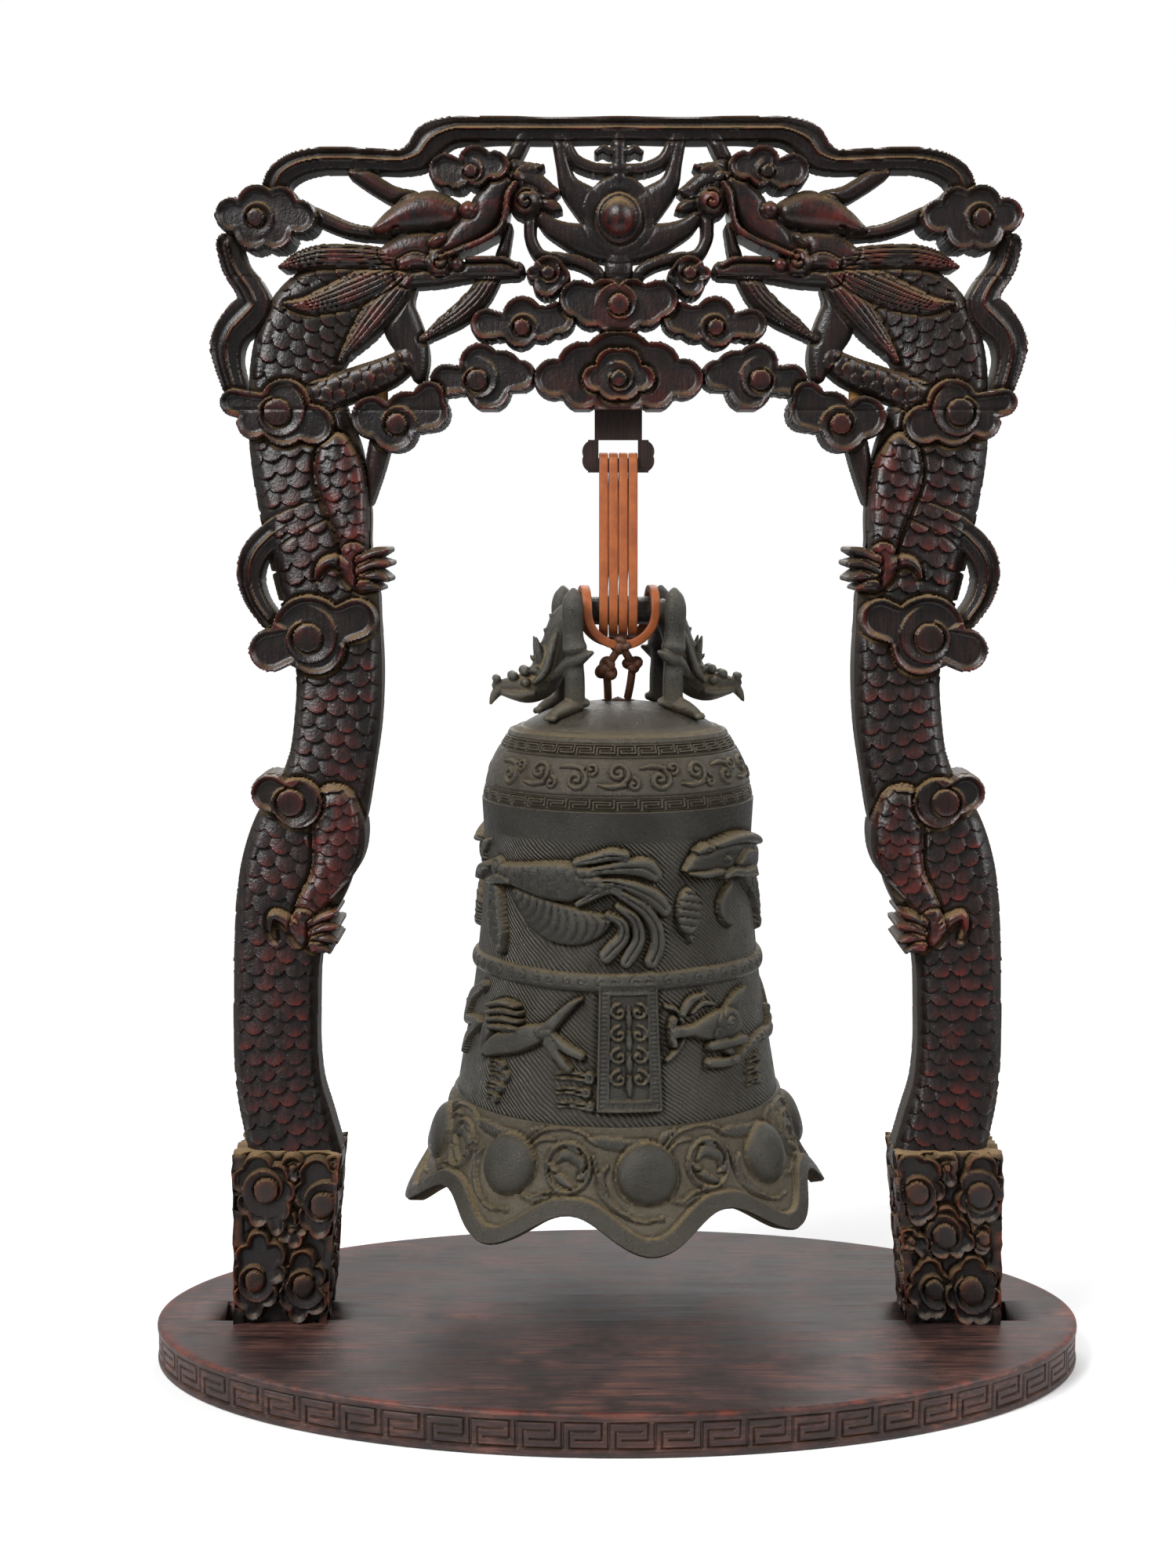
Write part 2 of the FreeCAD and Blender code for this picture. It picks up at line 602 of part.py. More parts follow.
# The lace sling: turns side by side over the tab's bar and under the crown's bar, one unbroken tube
bar_flats = (tab_bar_height / 2 - tab_bar_round, tab_bar_depth / 2 - tab_bar_round)
bar_corner = math.hypot(*bar_flats) + tab_bar_round
upper_radius = bar_corner + lace_clearance + lace_thickness / 2
twist_room = winding_width / 2 * math.sin(math.radians(bell_turn))
lower_rise = twist_room / 2
lower_radius = crown_bar_radius + math.hypot(twist_room, lower_rise) + lace_clearance + lace_thickness / 2
upper_z = tab_bar_z
lower_z = crown_bar_z + lower_rise
tilt = math.asin((lower_radius - upper_radius) / (upper_z - lower_z))


def rim_place(x, centre_z, radius, turn):
    """A place on a turn of the lace, the angle measured from straight back over the top."""
    return Vector(x, radius * math.cos(turn), centre_z + radius * math.sin(turn))


def shifted_run(start, end):
    """The back run from one turn to the next: two arcs that make an S, level with the run at both ends."""
    span = end - start
    across = Vector(span.x, 0, 0)
    along = Vector(0, span.y, span.z)
    bend = 2 * math.atan(across.Length / along.Length)
    radius = along.Length / 2 / math.sin(bend)
    middle = start + span * 0.5
    sideways = across.normalize() * (radius * (1 - math.cos(bend / 2)))
    forward = along.normalize() * (radius * math.sin(bend / 2))
    return [arc(start, start + sideways + forward, middle), arc(middle, end - sideways - forward, end)]


sling_edges = []
for turn_number in range(lace_turns):
    x = (turn_number - (lace_turns - 1) / 2) * lace_pitch
    top_back = rim_place(x, upper_z, upper_radius, tilt)
    top = rim_place(x, upper_z, upper_radius, math.pi / 2)
    top_front = rim_place(x, upper_z, upper_radius, math.pi - tilt)
    low_front = rim_place(x, lower_z, lower_radius, math.pi - tilt)
    bottom = rim_place(x, lower_z, lower_radius, -math.pi / 2)
    low_front_quarter = rim_place(x, lower_z, lower_radius, -math.pi * 3 / 4)
    low_back_quarter = rim_place(x, lower_z, lower_radius, -math.pi / 4)
    low_back = rim_place(x, lower_z, lower_radius, tilt)
    back_run = (top_back - low_back).normalize()
    if turn_number == 0:
        sling_edges.append(Part.makeLine(top_back - back_run * lace_thickness, top_back))
    top_back_quarter = rim_place(x, upper_z, upper_radius, math.pi / 4)
    top_front_quarter = rim_place(x, upper_z, upper_radius, math.pi * 3 / 4)
    sling_edges += [arc(top_back, top_back_quarter, top), arc(top, top_front_quarter, top_front),
                    Part.makeLine(top_front, low_front),
                    arc(low_front, low_front_quarter, bottom), arc(bottom, low_back_quarter, low_back)]
    if turn_number == lace_turns - 1:
        sling_edges.append(Part.makeLine(low_back, low_back + back_run * lace_thickness))
    else:
        sling_edges += shifted_run(low_back, top_back + Vector(lace_pitch, 0, 0))
lace_sling = tube(sling_edges, lace_thickness / 2)
sling_length = sum(edge.Length for edge in sling_edges)
section_area = math.pi * (lace_thickness / 2) ** 2
print("lace volume over section times length", round(lace_sling.Volume / (section_area * sling_length), 4))
save("lace_sling", [lace_sling])


def least_gap(edges, thickness):
    """The least distance between parts of the tube that aren't neighbours along it, less its thickness."""
    places, travelled = [], 0
    for edge in edges:
        count = max(2, int(edge.Length / thickness * 4))
        for number, place in enumerate(edge.discretize(count + 1)[:-1]):
            places.append((travelled + edge.Length * number / count, place))
        travelled += edge.Length
    least = travelled
    for index, (start, place) in enumerate(places):
        for other_start, other in places[index + 1:]:
            if other_start - start > 4 * thickness:
                least = min(least, (place - other).Length)
    return least - thickness


print("least gap of the lace to itself", round(least_gap(sling_edges, lace_thickness), 3))

# The tie: a strand over the crown's bar at each side of the sling, meeting in a knot in front and behind
tie_radius = crown_bar_radius + lace_clearance + lace_thickness / 2
tie_bottom = crown_bar_z - tie_turn_radius


def bend(centre, axis, start, sweep):
    """A stretch of the lace bent about an axis through a place, starting at this offset from it."""
    section = Part.Circle(centre + start, axis.cross(start), lace_thickness / 2)
    return Part.Face(Part.Wire(section.toShape())).revolve(centre, axis, sweep)


def round_knot(place, radius):
    """A round knot, turned so that no strand enters it at the sphere's own seam."""
    return Part.makeSphere(radius, place).rotate(place, Vector(0, 0, 1), 90)


tie_parts = []
for side in (-1, 1):
    over_bar = Vector(side * tie_spread, 0, crown_bar_z)
    tie_parts.append(bend(over_bar, Vector(-1, 0, 0), Vector(0, -tie_radius, 0), 180))
    for face in (-1, 1):
        corner = Vector(side * (tie_spread - tie_turn_radius), face * tie_radius, crown_bar_z)
        tie_parts.append(bend(corner, Vector(0, side, 0), Vector(side * tie_turn_radius, 0, 0), 90))
for face in (-1, 1):
    tie_parts.append(round_knot(Vector(0, face * tie_radius, tie_bottom), tie_knot_radius))
lace_tie = fuse_all(tie_parts)
save("lace_tie", [on_bell(solid) for solid in lace_tie.Solids])

# The two lower knots and their tails, which drop into the hole in the dome
hole_z = dome_top - wall / 2
knot_z = tie_bottom - lower_knot_drop
knot_parts = []
for side in (-1, 1):
    knot_place = Vector(side * lower_knot_spread, -tie_radius / 2, knot_z)
    tail_foot = Vector(side * clapper_lace_radius, 0, hole_z + clapper_knot_radius)
    knot_parts += [Part.makeSphere(lower_knot_radius, knot_place),
                   between(knot_place, tail_foot, lace_thickness / 2),
                   between(knot_place, Vector(0, -tie_radius, tie_bottom), lace_thickness / 2)]
lace_knots = fuse_all(knot_parts).cut(lace_tie)
save("lace_knots", [on_bell(solid) for solid in lace_knots.Solids])

# The clapper's lace: a knot in the hole, two strands down and a half turn through the clapper's eye
turn_z = hole_z - clapper_lace_drop + clapper_lace_radius
strand_top = hole_z - lace_clearance
strand_feet = [Vector(side * clapper_lace_radius, 0, turn_z) for side in (-1, 1)]
hole_knot = round_knot(Vector(0, 0, hole_z), clapper_knot_radius)
lace_bend = bend(Vector(0, 0, turn_z), Vector(0, 1, 0), Vector(clapper_lace_radius, 0, 0), 180)
strands = [Part.makeCylinder(lace_thickness / 2, strand_top - turn_z, foot) for foot in strand_feet]
clapper_lace = fuse_all([hole_knot, lace_bend] + strands)
save("clapper_lace", [on_bell(clapper_lace)])

# The clapper: an eye round the lace, a stem and a ball
eye_wire = clapper_eye_thickness / 2
eye_top = turn_z - clapper_lace_radius + lace_thickness / 2 + lace_clearance + eye_wire
eye_centre = Vector(0, 0, eye_top - clapper_eye_radius)
eye = Part.makeTorus(clapper_eye_radius, eye_wire, eye_centre, Vector(1, 0, 0))
stem_top = eye_centre - Vector(0, 0, clapper_eye_radius)
ball_centre = stem_top - Vector(0, 0, clapper_stem_length)
clapper = fuse_all([eye, between(stem_top, ball_centre, clapper_stem_radius),
                    Part.makeSphere(clapper_ball_radius, ball_centre)])
save("clapper", [on_bell(clapper)])

print("hinge of the sling", round(tab_bar_z, 2), "of the bell", round(crown_bar_z, 2),
      "of the clapper's lace", round(hole_z, 2), "of the clapper", round(turn_z - clapper_lace_radius, 2))
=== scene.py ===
import math

import bpy
import numpy as np
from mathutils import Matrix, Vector


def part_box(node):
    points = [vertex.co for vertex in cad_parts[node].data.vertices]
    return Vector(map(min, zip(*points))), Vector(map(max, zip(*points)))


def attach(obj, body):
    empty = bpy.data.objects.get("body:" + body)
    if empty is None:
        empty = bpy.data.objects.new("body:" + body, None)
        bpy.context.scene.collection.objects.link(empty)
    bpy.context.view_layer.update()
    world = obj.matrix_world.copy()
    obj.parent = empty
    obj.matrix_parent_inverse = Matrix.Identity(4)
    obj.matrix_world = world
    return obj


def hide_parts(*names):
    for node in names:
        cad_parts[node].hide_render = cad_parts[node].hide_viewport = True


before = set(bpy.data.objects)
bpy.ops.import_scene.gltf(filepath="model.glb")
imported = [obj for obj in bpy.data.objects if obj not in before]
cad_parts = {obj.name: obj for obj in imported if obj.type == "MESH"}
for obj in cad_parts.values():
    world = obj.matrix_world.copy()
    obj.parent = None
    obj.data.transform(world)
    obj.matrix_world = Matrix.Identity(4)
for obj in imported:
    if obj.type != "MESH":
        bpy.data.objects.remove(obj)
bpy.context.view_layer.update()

# The base: an oval board of rosewood under an old dark lacquer, rubbed up to a satin shine. A band of square
# spirals is cut round its edge between two plain lips, and a mortise under each foot shows beside the block.
# It is one sheet of rows round the oval, closed above and below, with the mortises cut out of it.
MM = 0.001
base_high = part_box("base_board")[1]
base_half = np.array([base_high.x, base_high.y]) / MM
base_height = base_high.z / MM
base_step = 0.42
lip_height, lip_round = 2.4, 1.3
band_sink = 0.35
top_insets = (2.5, 6, 16, 40)
fret_depth, fret_width, fret_line, fret_margin = 0.8, 15.2, 0.36, 0.6
# The two arms of one square spiral, on its grid
fret_grid = (10, 6)
fret_lines = [[(0, 0), (0, 6), (8.5, 6), (8.5, 2), (3, 2)], [(10, 6), (10, 0), (1.5, 0), (1.5, 4), (7, 4)]]
# The middle of the right foot's mortise and half its size: it shows for 5 mm past the block's outer side
mortise_middle = sum(corner.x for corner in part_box("foot_block_right")) / 2 / MM + 6.85
mortise_half = (18.3, 9.6, 10.1)
corner_wear, band_wear, band_dust, raw_dust = 0.55, 0.05, 0.12, 0.2
# The near-black colour darkens the wood's pores and is also the painted shade laid in carved hollows
worn_red, dust_colour, pore_and_shade_colour = "#7a3424", "#8d7350", "#0b0807"


def ease(share):
    """A smooth step from 0 to 1."""
    share = np.clip(share, 0, 1)
    return share * share * (3 - 2 * share)


def linear(code):
    """A linear colour from its sRGB hex code."""
    shares = [int(code[at:at + 2], 16) / 255 for at in (1, 3, 5)]
    return tuple(c / 12.92 if c <= 0.04045 else ((c + 0.055) / 1.055) ** 2.4 for c in shares) + (1.0,)


def add_node(tree, kind, inputs=None, **settings):
    """A node of this kind with its settings, each input given as a value or as another node's socket."""
    node = tree.nodes.new("ShaderNode" + kind)
    for key, value in settings.items():
        setattr(node, key, value)
    for key, value in (inputs or {}).items():
        if isinstance(value, bpy.types.NodeSocket):
            tree.links.new(value, node.inputs[key])
        else:
            node.inputs[key].default_value = value
    return node


def new_material(name):
    """An empty material with its tree, its principled shader and the place in mm to paint by."""
    material = bpy.data.materials.new(name)
    material.use_nodes = True
    tree = material.node_tree
    shader = tree.nodes["Principled BSDF"]
    places = add_node(tree, "TexCoord").outputs["Object"]
    places = add_node(tree, "VectorMath", {0: places, "Scale": 1 / MM}, operation="SCALE").outputs[0]
    return material, tree, shader, places


def mottled(tree, places, scale, detail, roughness, low, high, least=0.0, most=1.0):
    """Noise of about 1 / scale mm, and how far it lies between two levels, from the least to the most."""
    noise = add_node(tree, "TexNoise", {"Vector": places, "Scale": scale, "Detail": detail,
                                        "Roughness": roughness}).outputs[0]
    share = add_node(tree, "MapRange", {"Value": noise, "From Min": low, "From Max": high,
                                        "To Min": least, "To Max": most}).outputs[0]
    return noise, share


def marks(tree, **factors):
    """The shares that a mesh carries, such as its wear, each times a factor."""
    products = []
    for key, factor in factors.items():
        share = add_node(tree, "Attribute", attribute_name=key).outputs["Fac"]
        product = add_node(tree, "Math", {0: share, 1: factor}, operation="MULTIPLY", use_clamp=True)
        products.append(product.outputs[0])
    return products


def coated(tree, colour, coats):
    """A colour under coats of others, each given as its share and its hex code."""
    for share, code in coats:
        colour = add_node(tree, "MixRGB", {"Fac": share, "Color1": colour, "Color2": linear(code)}).outputs[0]
    return colour


def dress(tree, shader, colour, shine, height, strength, depth):
    """Gives a shader its colour, its roughness and a bump this many mm deep."""
    bump = add_node(tree, "Bump", {"Height": height, "Strength": strength, "Distance": depth * MM}).outputs[0]
    for key, value in (("Base Color", colour), ("Roughness", shine), ("Normal", bump)):
        tree.links.new(value, shader.inputs[key])


def rosewood(name, ground, streak, worn, grain, polish, grit):
    """Rosewood: close dark grain that runs one way, red where hands rub it, dusty where they can't reach, and
    painted shade in its hollows.

    The grain is drawn coarser than real fibres of 0.1 mm, so that it shows from where the camera stands.
    """
    material, tree, shader, places = new_material(name)
    shader.inputs["Specular IOR Level"].default_value = 0.4
    stretched = add_node(tree, "VectorMath", {0: places, 1: grain}, operation="MULTIPLY").outputs[0]
    streaks, share = mottled(tree, stretched, 1.0, 5.0, 0.62, 0.36, 0.66)
    spread = mottled(tree, places, 0.05, 4.0, 0.6, 0.4, 0.62, 0.1)[1]
    share = add_node(tree, "Math", {0: share, 1: spread}, operation="MULTIPLY").outputs[0]
    pores = mottled(tree, stretched, 2.6, 2.0, 0.5, 0.52, 0.66, 0.0, 0.75)[1]
    patchy = mottled(tree, places, 0.11, 5.0, 0.65, 0.44, 0.62)[1]
    flecked = mottled(tree, places, 1.6, 3.0, 0.7, 0.3, 0.62, 0.35)[1]
    # Painted shade: the deep share colours the hollows near black, as if shaded, and makes them rougher
    rubbed, deep, dust = marks(tree, worn=patchy, deep=0.75, dusty=flecked)
    colour = coated(tree, linear(ground), ((share, streak), (pores, pore_and_shade_colour), (rubbed, worn),
                                           (deep, pore_and_shade_colour), (dust, dust_colour)))
    shine = add_node(tree, "MapRange", {"Value": streaks, "From Min": 0.3, "From Max": 0.7,
                                        "To Min": polish, "To Max": polish + 0.16}).outputs[0]
    dull = add_node(tree, "Math", {0: dust, 1: deep}, operation="MAXIMUM").outputs[0]
    shine = add_node(tree, "MixRGB", {"Fac": dull, "Color1": shine, "Color2": (0.9, 0.9, 0.9, 1)}).outputs[0]
    fine = add_node(tree, "TexNoise", {"Vector": places, "Scale": 1 / grit, "Detail": 2.0}).outputs[0]
    rough = add_node(tree, "Math", {0: streaks, 1: fine}, operation="ADD").outputs[0]
    dress(tree, shader, colour, shine, rough, 0.5, 0.2)
    return material


def write_shares(mesh, **shares):
    """Shares such as its wear, written at every place of a mesh."""
    for key, values in shares.items():
        layer = mesh.attributes.new(key, "FLOAT", "POINT")
        layer.data.foreach_set("value", values.astype(np.float32).ravel())


def make_piece(name, places, polygons, material, sharp=42, **shares):
    """A mesh object from places in mm and arrays of corners, with shares such as its wear at every place."""
    mesh = bpy.data.meshes.new(name)
    corners = np.concatenate([polygon.ravel() for polygon in polygons])
    sizes = np.concatenate([np.full(len(polygon), polygon.shape[1]) for polygon in polygons])
    mesh.vertices.add(len(places))
    mesh.vertices.foreach_set("co", (np.asarray(places) * MM).astype(np.float32).ravel())
    mesh.loops.add(len(corners))
    mesh.loops.foreach_set("vertex_index", corners.astype(np.int32))
    mesh.polygons.add(len(sizes))
    mesh.polygons.foreach_set("loop_start", np.r_[0, np.cumsum(sizes)[:-1]].astype(np.int32))
    mesh.update(calc_edges=True)
    write_shares(mesh, **shares)
    mesh.shade_smooth()
    mesh.set_sharp_from_angle(angle=math.radians(sharp))
    mesh.materials.append(material)
    piece = bpy.data.objects.new(name, mesh)
    bpy.context.scene.collection.objects.link(piece)
    return piece


def closed_sheet(rows, columns):
    """Quads between the rows of a sheet that closes round, and at each end a fan to a place after it."""
    index = np.arange(rows * columns).reshape(rows, columns)
    index = np.c_[index, index[:, 0]]
    quads = np.stack([index[:-1, :-1], index[:-1, 1:], index[1:, 1:], index[1:, :-1]], -1).reshape(-1, 4)
    middle = np.full(columns, rows * columns)
    return [quads, np.stack([middle, index[0, 1:], index[0, :-1]], -1),
            np.stack([index[-1, :-1], index[-1, 1:], middle + 1], -1)]


def fret_share(across, up, cell, line):
    """How deep a place lies in the lines of a square spiral, from 0 beside them to 1 on them."""
    depth = np.full(across.shape, -line * 9)
    for points in fret_lines:
        for (x0, z0), (x1, z1) in zip(points, points[1:]):
            aside = abs(x1 - x0) / 2 * cell[0] + line - abs(across - (x0 + x1) / 2 * cell[0])
            above = abs(z1 - z0) / 2 * cell[1] + line - abs(up - (z0 + z1) / 2 * cell[1])
            depth = np.maximum(depth, np.minimum(aside, above))
    return ease(depth / line + 0.5)


turns = np.linspace(0, 2 * math.pi, 7201)
outline = np.c_[np.cos(turns), np.sin(turns)] * base_half
travel = np.r_[0, np.cumsum(np.hypot(*np.diff(outline, axis=0).T))]
base_columns = int(travel[-1] / base_step)
around = np.linspace(0, travel[-1], base_columns, endpoint=False)
turn = np.interp(around, travel, turns)
edge = np.c_[np.cos(turn), np.sin(turn)] * base_half
outward = np.c_[np.cos(turn), np.sin(turn)] * base_half[::-1]
outward /= np.linalg.norm(outward, axis=1, keepdims=True)
fret_count = round(travel[-1] / fret_width)
fret_cell = np.array([travel[-1] / fret_count, base_height - 2 * (lip_height + fret_margin)]) / fret_grid
up = np.linspace(0, base_height, int(base_height / base_step) + 2)
unit = np.mod(around, fret_cell[0] * fret_grid[0])
cut = fret_share(unit[None, :], up[:, None] - lip_height - fret_margin, fret_cell, fret_line)
to_end = np.minimum(up, base_height - up)
rounding = lip_round - np.sqrt(np.clip(lip_round ** 2 - np.clip(lip_round - to_end, 0, None) ** 2, 0, None))
in_band = ease((to_end - lip_height) / 0.5)
sink = (rounding + band_sink * in_band)[:, None] + fret_depth * cut
band = edge[None] - outward[None] * sink[..., None]
band = np.concatenate([band, np.broadcast_to(up[:, None, None], band.shape[:2] + (1,))], -1)
rings = [edge * (1 - inset / base_half[1]) for inset in top_insets]
inner = [np.c_[ring, np.full(base_columns, base_height)] for ring in rings]
under = [np.c_[ring, np.zeros(base_columns)] for ring in rings[::-1]]
rows = np.concatenate([under, band, inner])
places = np.concatenate([rows.reshape(-1, 3), [[0, 0, 0], [0, 0, base_height]]])
worn, dusty = np.zeros(rows.shape[:2]), np.zeros(rows.shape[:2])
band_rows = slice(len(under), len(under) + len(up))
rubbed = np.exp(-((to_end - 0.4) / 0.7) ** 2) * (up > base_height / 2)
worn[band_rows] = corner_wear * rubbed[:, None] + band_wear * in_band[:, None] * (1 - cut)
dusty[band_rows] = band_dust * cut
base_wood = rosewood("lacquered_rosewood_board", "#231715", "#67433a", worn_red, (0.02, 0.32, 0.9), 0.44, 0.5)
raw_wood = rosewood("raw_wood_in_the_mortise", "#5a3a26", "#7c5436", worn_red, (0.9, 0.9, 0.06), 0.7, 0.5)
base_board = make_piece("oval_base_board", places, closed_sheet(len(rows), base_columns), base_wood,
                        worn=np.r_[worn.ravel(), 0, 0], dusty=np.r_[dusty.ravel(), 0, 0])
box_corners = np.array([(x, y, z) for x in (-1, 1) for y in (-1, 1) for z in (-1, 1)])
box_sides = np.array([(0, 1, 3, 2), (4, 6, 7, 5), (0, 4, 5, 1), (2, 3, 7, 6), (0, 2, 6, 4), (1, 5, 7, 3)])
cutters = []
for side in (-1, 1):
    corners = box_corners * mortise_half + (side * mortise_middle, 0, base_height)
    cutters.append(make_piece("mortise_cutter", corners, [box_sides], raw_wood,
                              worn=np.zeros(8), dusty=np.full(8, raw_dust)))
    base_board.modifiers.new("mortise", "BOOLEAN").object = cutters[-1]
solved = base_board.evaluated_get(bpy.context.evaluated_depsgraph_get())
base_board.data = bpy.data.meshes.new_from_object(solved)
base_board.modifiers.clear()
for cutter in cutters:
    bpy.data.objects.remove(cutter)
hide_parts("base_board")
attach(base_board, "stand")


# The foot blocks: two tapered blocks of the same wood, each side carved with clouds round flat knobs. A tenon
# holds each in the base. Tan dust lies on every upper edge and the corners are rubbed to the raw wood.
# Each is four carved sheets wrapped round the taper and closed above and below.
block_top, block_foot = (39.6, 31.0), (35.0, 28.0)
block_shift, block_inset = 3.0, 0.35
block_step = 0.42
block_floor, block_low, block_high, block_sink = -4.2, -3.6, -0.4, 2.9
corner_spacing, corner_depth, corner_swing = 3.0, 0.75, 0.35
# Each front face in pixels of the photograph at four times its size: the middle, height and half width of its
# top and of its foot
left_face = ((442, 200, 277), (372, 970, 243))
right_face = ((432, 240, 282), (472, 1000, 257))
face_pixels_per_mm = 13.2
# Its clouds: the lobes, the knob, the way its arm winds and where the arm starts, in turns
left_clouds = [
    ([(470, 250, 57), (476, 300, 33)], (474, 262, 16), 1, 0.7),
    ([(690, 235, 44), (700, 290, 37)], (700, 250, 14), 1, 0.7),
    ([(440, 500, 46), (420, 560, 48), (470, 590, 44), (500, 540, 40)], (452, 548, 15), -1, 0.2),
    ([(590, 290, 83), (545, 380, 76), (560, 480, 73), (600, 530, 61), (655, 320, 59), (690, 420, 73)],
      (620, 430, 60), -1, 0.15),
    ([(290, 265, 76), (225, 320, 68), (390, 300, 63), (425, 370, 59), (395, 450, 61), (378, 530, 44),
      (235, 420, 63), (282, 480, 56)], (330, 364, 60), 1, 0.88),
    ([(500, 695, 73), (575, 750, 56), (440, 760, 66), (430, 850, 71), (470, 915, 61), (560, 870, 68)],
      (500, 800, 56), 1, 0.1),
    ([(278, 602, 63), (205, 660, 59), (350, 660, 71), (372, 740, 49), (190, 750, 66), (196, 850, 68),
      (235, 905, 56), (310, 840, 61)], (248, 775, 52), 1, 0.1)]
right_clouds = [
    ([(415, 285, 66), (430, 350, 44)], (424, 300, 16), 1, 0.7),
    ([(225, 620, 59), (290, 640, 48), (320, 690, 37)], (240, 628, 18), 1, 0.2),
    ([(612, 590, 51), (616, 650, 49)], (622, 615, 34), 1, 0.3),
    ([(425, 530, 68), (368, 585, 56), (490, 575, 61), (530, 632, 51), (486, 668, 44), (400, 655, 61)],
      (418, 607, 60), 1, 0.8),
    ([(235, 295, 76), (325, 315, 66), (352, 400, 59), (312, 480, 61), (270, 512, 56), (205, 400, 73)],
      (262, 412, 56), -1, 0.6),
    ([(612, 308, 81), (550, 370, 61), (535, 450, 63), (590, 505, 56), (652, 490, 61), (676, 390, 68)],
      (597, 425, 60), 1, 0.55),
    ([(340, 762, 66), (286, 800, 59), (268, 868, 61), (312, 935, 56), (372, 925, 61), (400, 830, 61)],
      (364, 847, 50), 1, 0.1),
    ([(570, 755, 71), (508, 800, 61), (482, 880, 66), (540, 945, 68), (620, 950, 66), (668, 880, 63),
      (650, 800, 61)], (566, 855, 66), 1, 0.35)]


class Relief:
    """A carved sheet on a grid in mm: its height, and how far inside its outline each place lies."""

    def __init__(self, across, up, ground):
        self.across, self.up = across, up
        self.step = across[1] - across[0]
        self.X, self.Z = np.meshgrid(across, up)
        self.height = np.full(self.X.shape, float(ground))
        self.inside = np.full(self.X.shape, -9.0)

    def window(self, x0, x1, z0, z1):
        """The rows and columns that hold a box."""
        i0, i1 = np.searchsorted(self.across, [x0, x1])
        j0, j1 = np.searchsorted(self.up, [z0, z1])
        return slice(max(j0 - 1, 0), j1 + 1), slice(max(i0 - 1, 0), i1 + 1)

    def lobes(self, discs):
        """A window round some discs and the depth inside their union."""
        discs = np.asarray(discs, float)
        low = (discs[:, :2] - discs[:, 2:]).min(0) - 3
        high = (discs[:, :2] + discs[:, 2:]).max(0) + 3
        win = self.window(low[0], high[0], low[1], high[1])
        depth = np.full(self.X[win].shape, -9.0)
        for x, z, radius in discs:
            depth = np.maximum(depth, radius - np.hypot(self.X[win] - x, self.Z[win] - z))
        return win, depth

    def lay(self, win, depth, height, groove=1.2, groove_width=0.9, cover=False):
        """Puts a form over what is there, or in its place, with a cut line round it."""
        under, inside = self.height[win], self.inside[win]
        line = groove * np.exp(-(np.maximum(-depth, 0) / groove_width) ** 2)
        form = height if cover else np.maximum(height, under)
        under[:] = np.where(depth > 0, form, under - np.where(inside > 0, line, 0))
        inside[:] = np.maximum(inside, depth)

    def hollows(self, radius):
        """Height over the mean height round about, in mm."""
        cells = radius / self.step
        reach = max(1, int(cells * 2.5))
        weights = np.exp(-(np.arange(-reach, reach + 1) / cells) ** 2 / 2)
        weights /= weights.sum()
        mask = (self.inside > 0).astype(float)
        means = []
        for values in (self.height * mask, mask):
            for axis in (0, 1):
                values = np.apply_along_axis(lambda line: np.convolve(line, weights, "same"), axis, values)
            means.append(values)
        return (self.height - means[0] / np.maximum(means[1], 1e-4)) * mask


def cloud(relief, lobes, knob, low, top, sink=2.6, way=1, start=0.3):
    """A cloud: a thin sharp rim round one smooth dish, and a flat knob whose arm winds out into the dish."""
    win, depth = relief.lobes(list(lobes) + [knob])
    X, Z = relief.X[win], relief.Z[win]
    x, z, radius = knob
    away = np.hypot(X - x, Z - z)
    blend, total = 1.3, 1e-9
    for u, v, size in lobes:
        # Each lobe reaches in to the knob, so that the dish is one
        length = max((u - x) ** 2 + (v - z) ** 2, 0.01)
        share = np.clip(((X - x) * (u - x) + (Z - z) * (v - z)) / length, 0, 1)
        reach_in = 1.2 * radius + (size - 1.2 * radius) * share
        within = reach_in - np.hypot(X - x - (u - x) * share, Z - z - (v - z) * share)
        depth = np.maximum(depth, within)
        total = total + np.exp(within / blend)
    soft = blend * np.log(total)
    # The dish is cut steeply under the upper rim and runs out gently towards the lower one
    upper = 0.62 + 0.38 * ease((Z - z) / (4 * radius) + 0.5)
    height = low + (top - low) * ease(depth / 0.5) - sink * upper * ease((soft - 0.6) / 2.4)
    angle = np.mod(way * np.arctan2(Z - z, X - x) / (2 * math.pi) - start, 1)
    arm = radius * (1.3 + 1.15 * angle)
    slope = np.clip((away - radius) / np.maximum(arm - radius, 0.4), 0, 1)
    raised = ease((arm - away) / 0.45) * ease((1 - angle) / 0.3) * ease(depth / 1.2) * abs(way)
    height = height + (top - 0.1 - 1.7 * (1 - slope) - height) * raised
    height = height - 0.9 * np.exp(-((away - radius) / 0.42) ** 2) * ease(depth / 0.8)
    height = np.where(away < radius, top + 0.35 - 0.6 * (away / radius) ** 6, height)
    relief.lay(win, depth, height, 1.3, 0.8, cover=True)


def wear_shares(relief, fine=0.9, wide=2.6):
    """Wear on the edges that stand out, dust on the edges that face up, and the depth of the hollows, which
    is painted as their shade.
    """
    edges = relief.hollows(fine)
    pits = relief.hollows(wide)
    worn = ease((edges - 0.1) / 0.6) * 0.42 + ease((pits - 0.15) / 1.3) * 0.7
    faces_up = ease((-np.gradient(relief.height, relief.step, axis=0) - 0.35) / 1.2) * (relief.inside > 0)
    dusty = faces_up * 0.75 + ease((-pits - 0.6) / 1.8) * 0.3
    return np.clip(worn, 0, 1), np.clip(dusty, 0, 1), ease((-pits - 0.1) / 1.6)


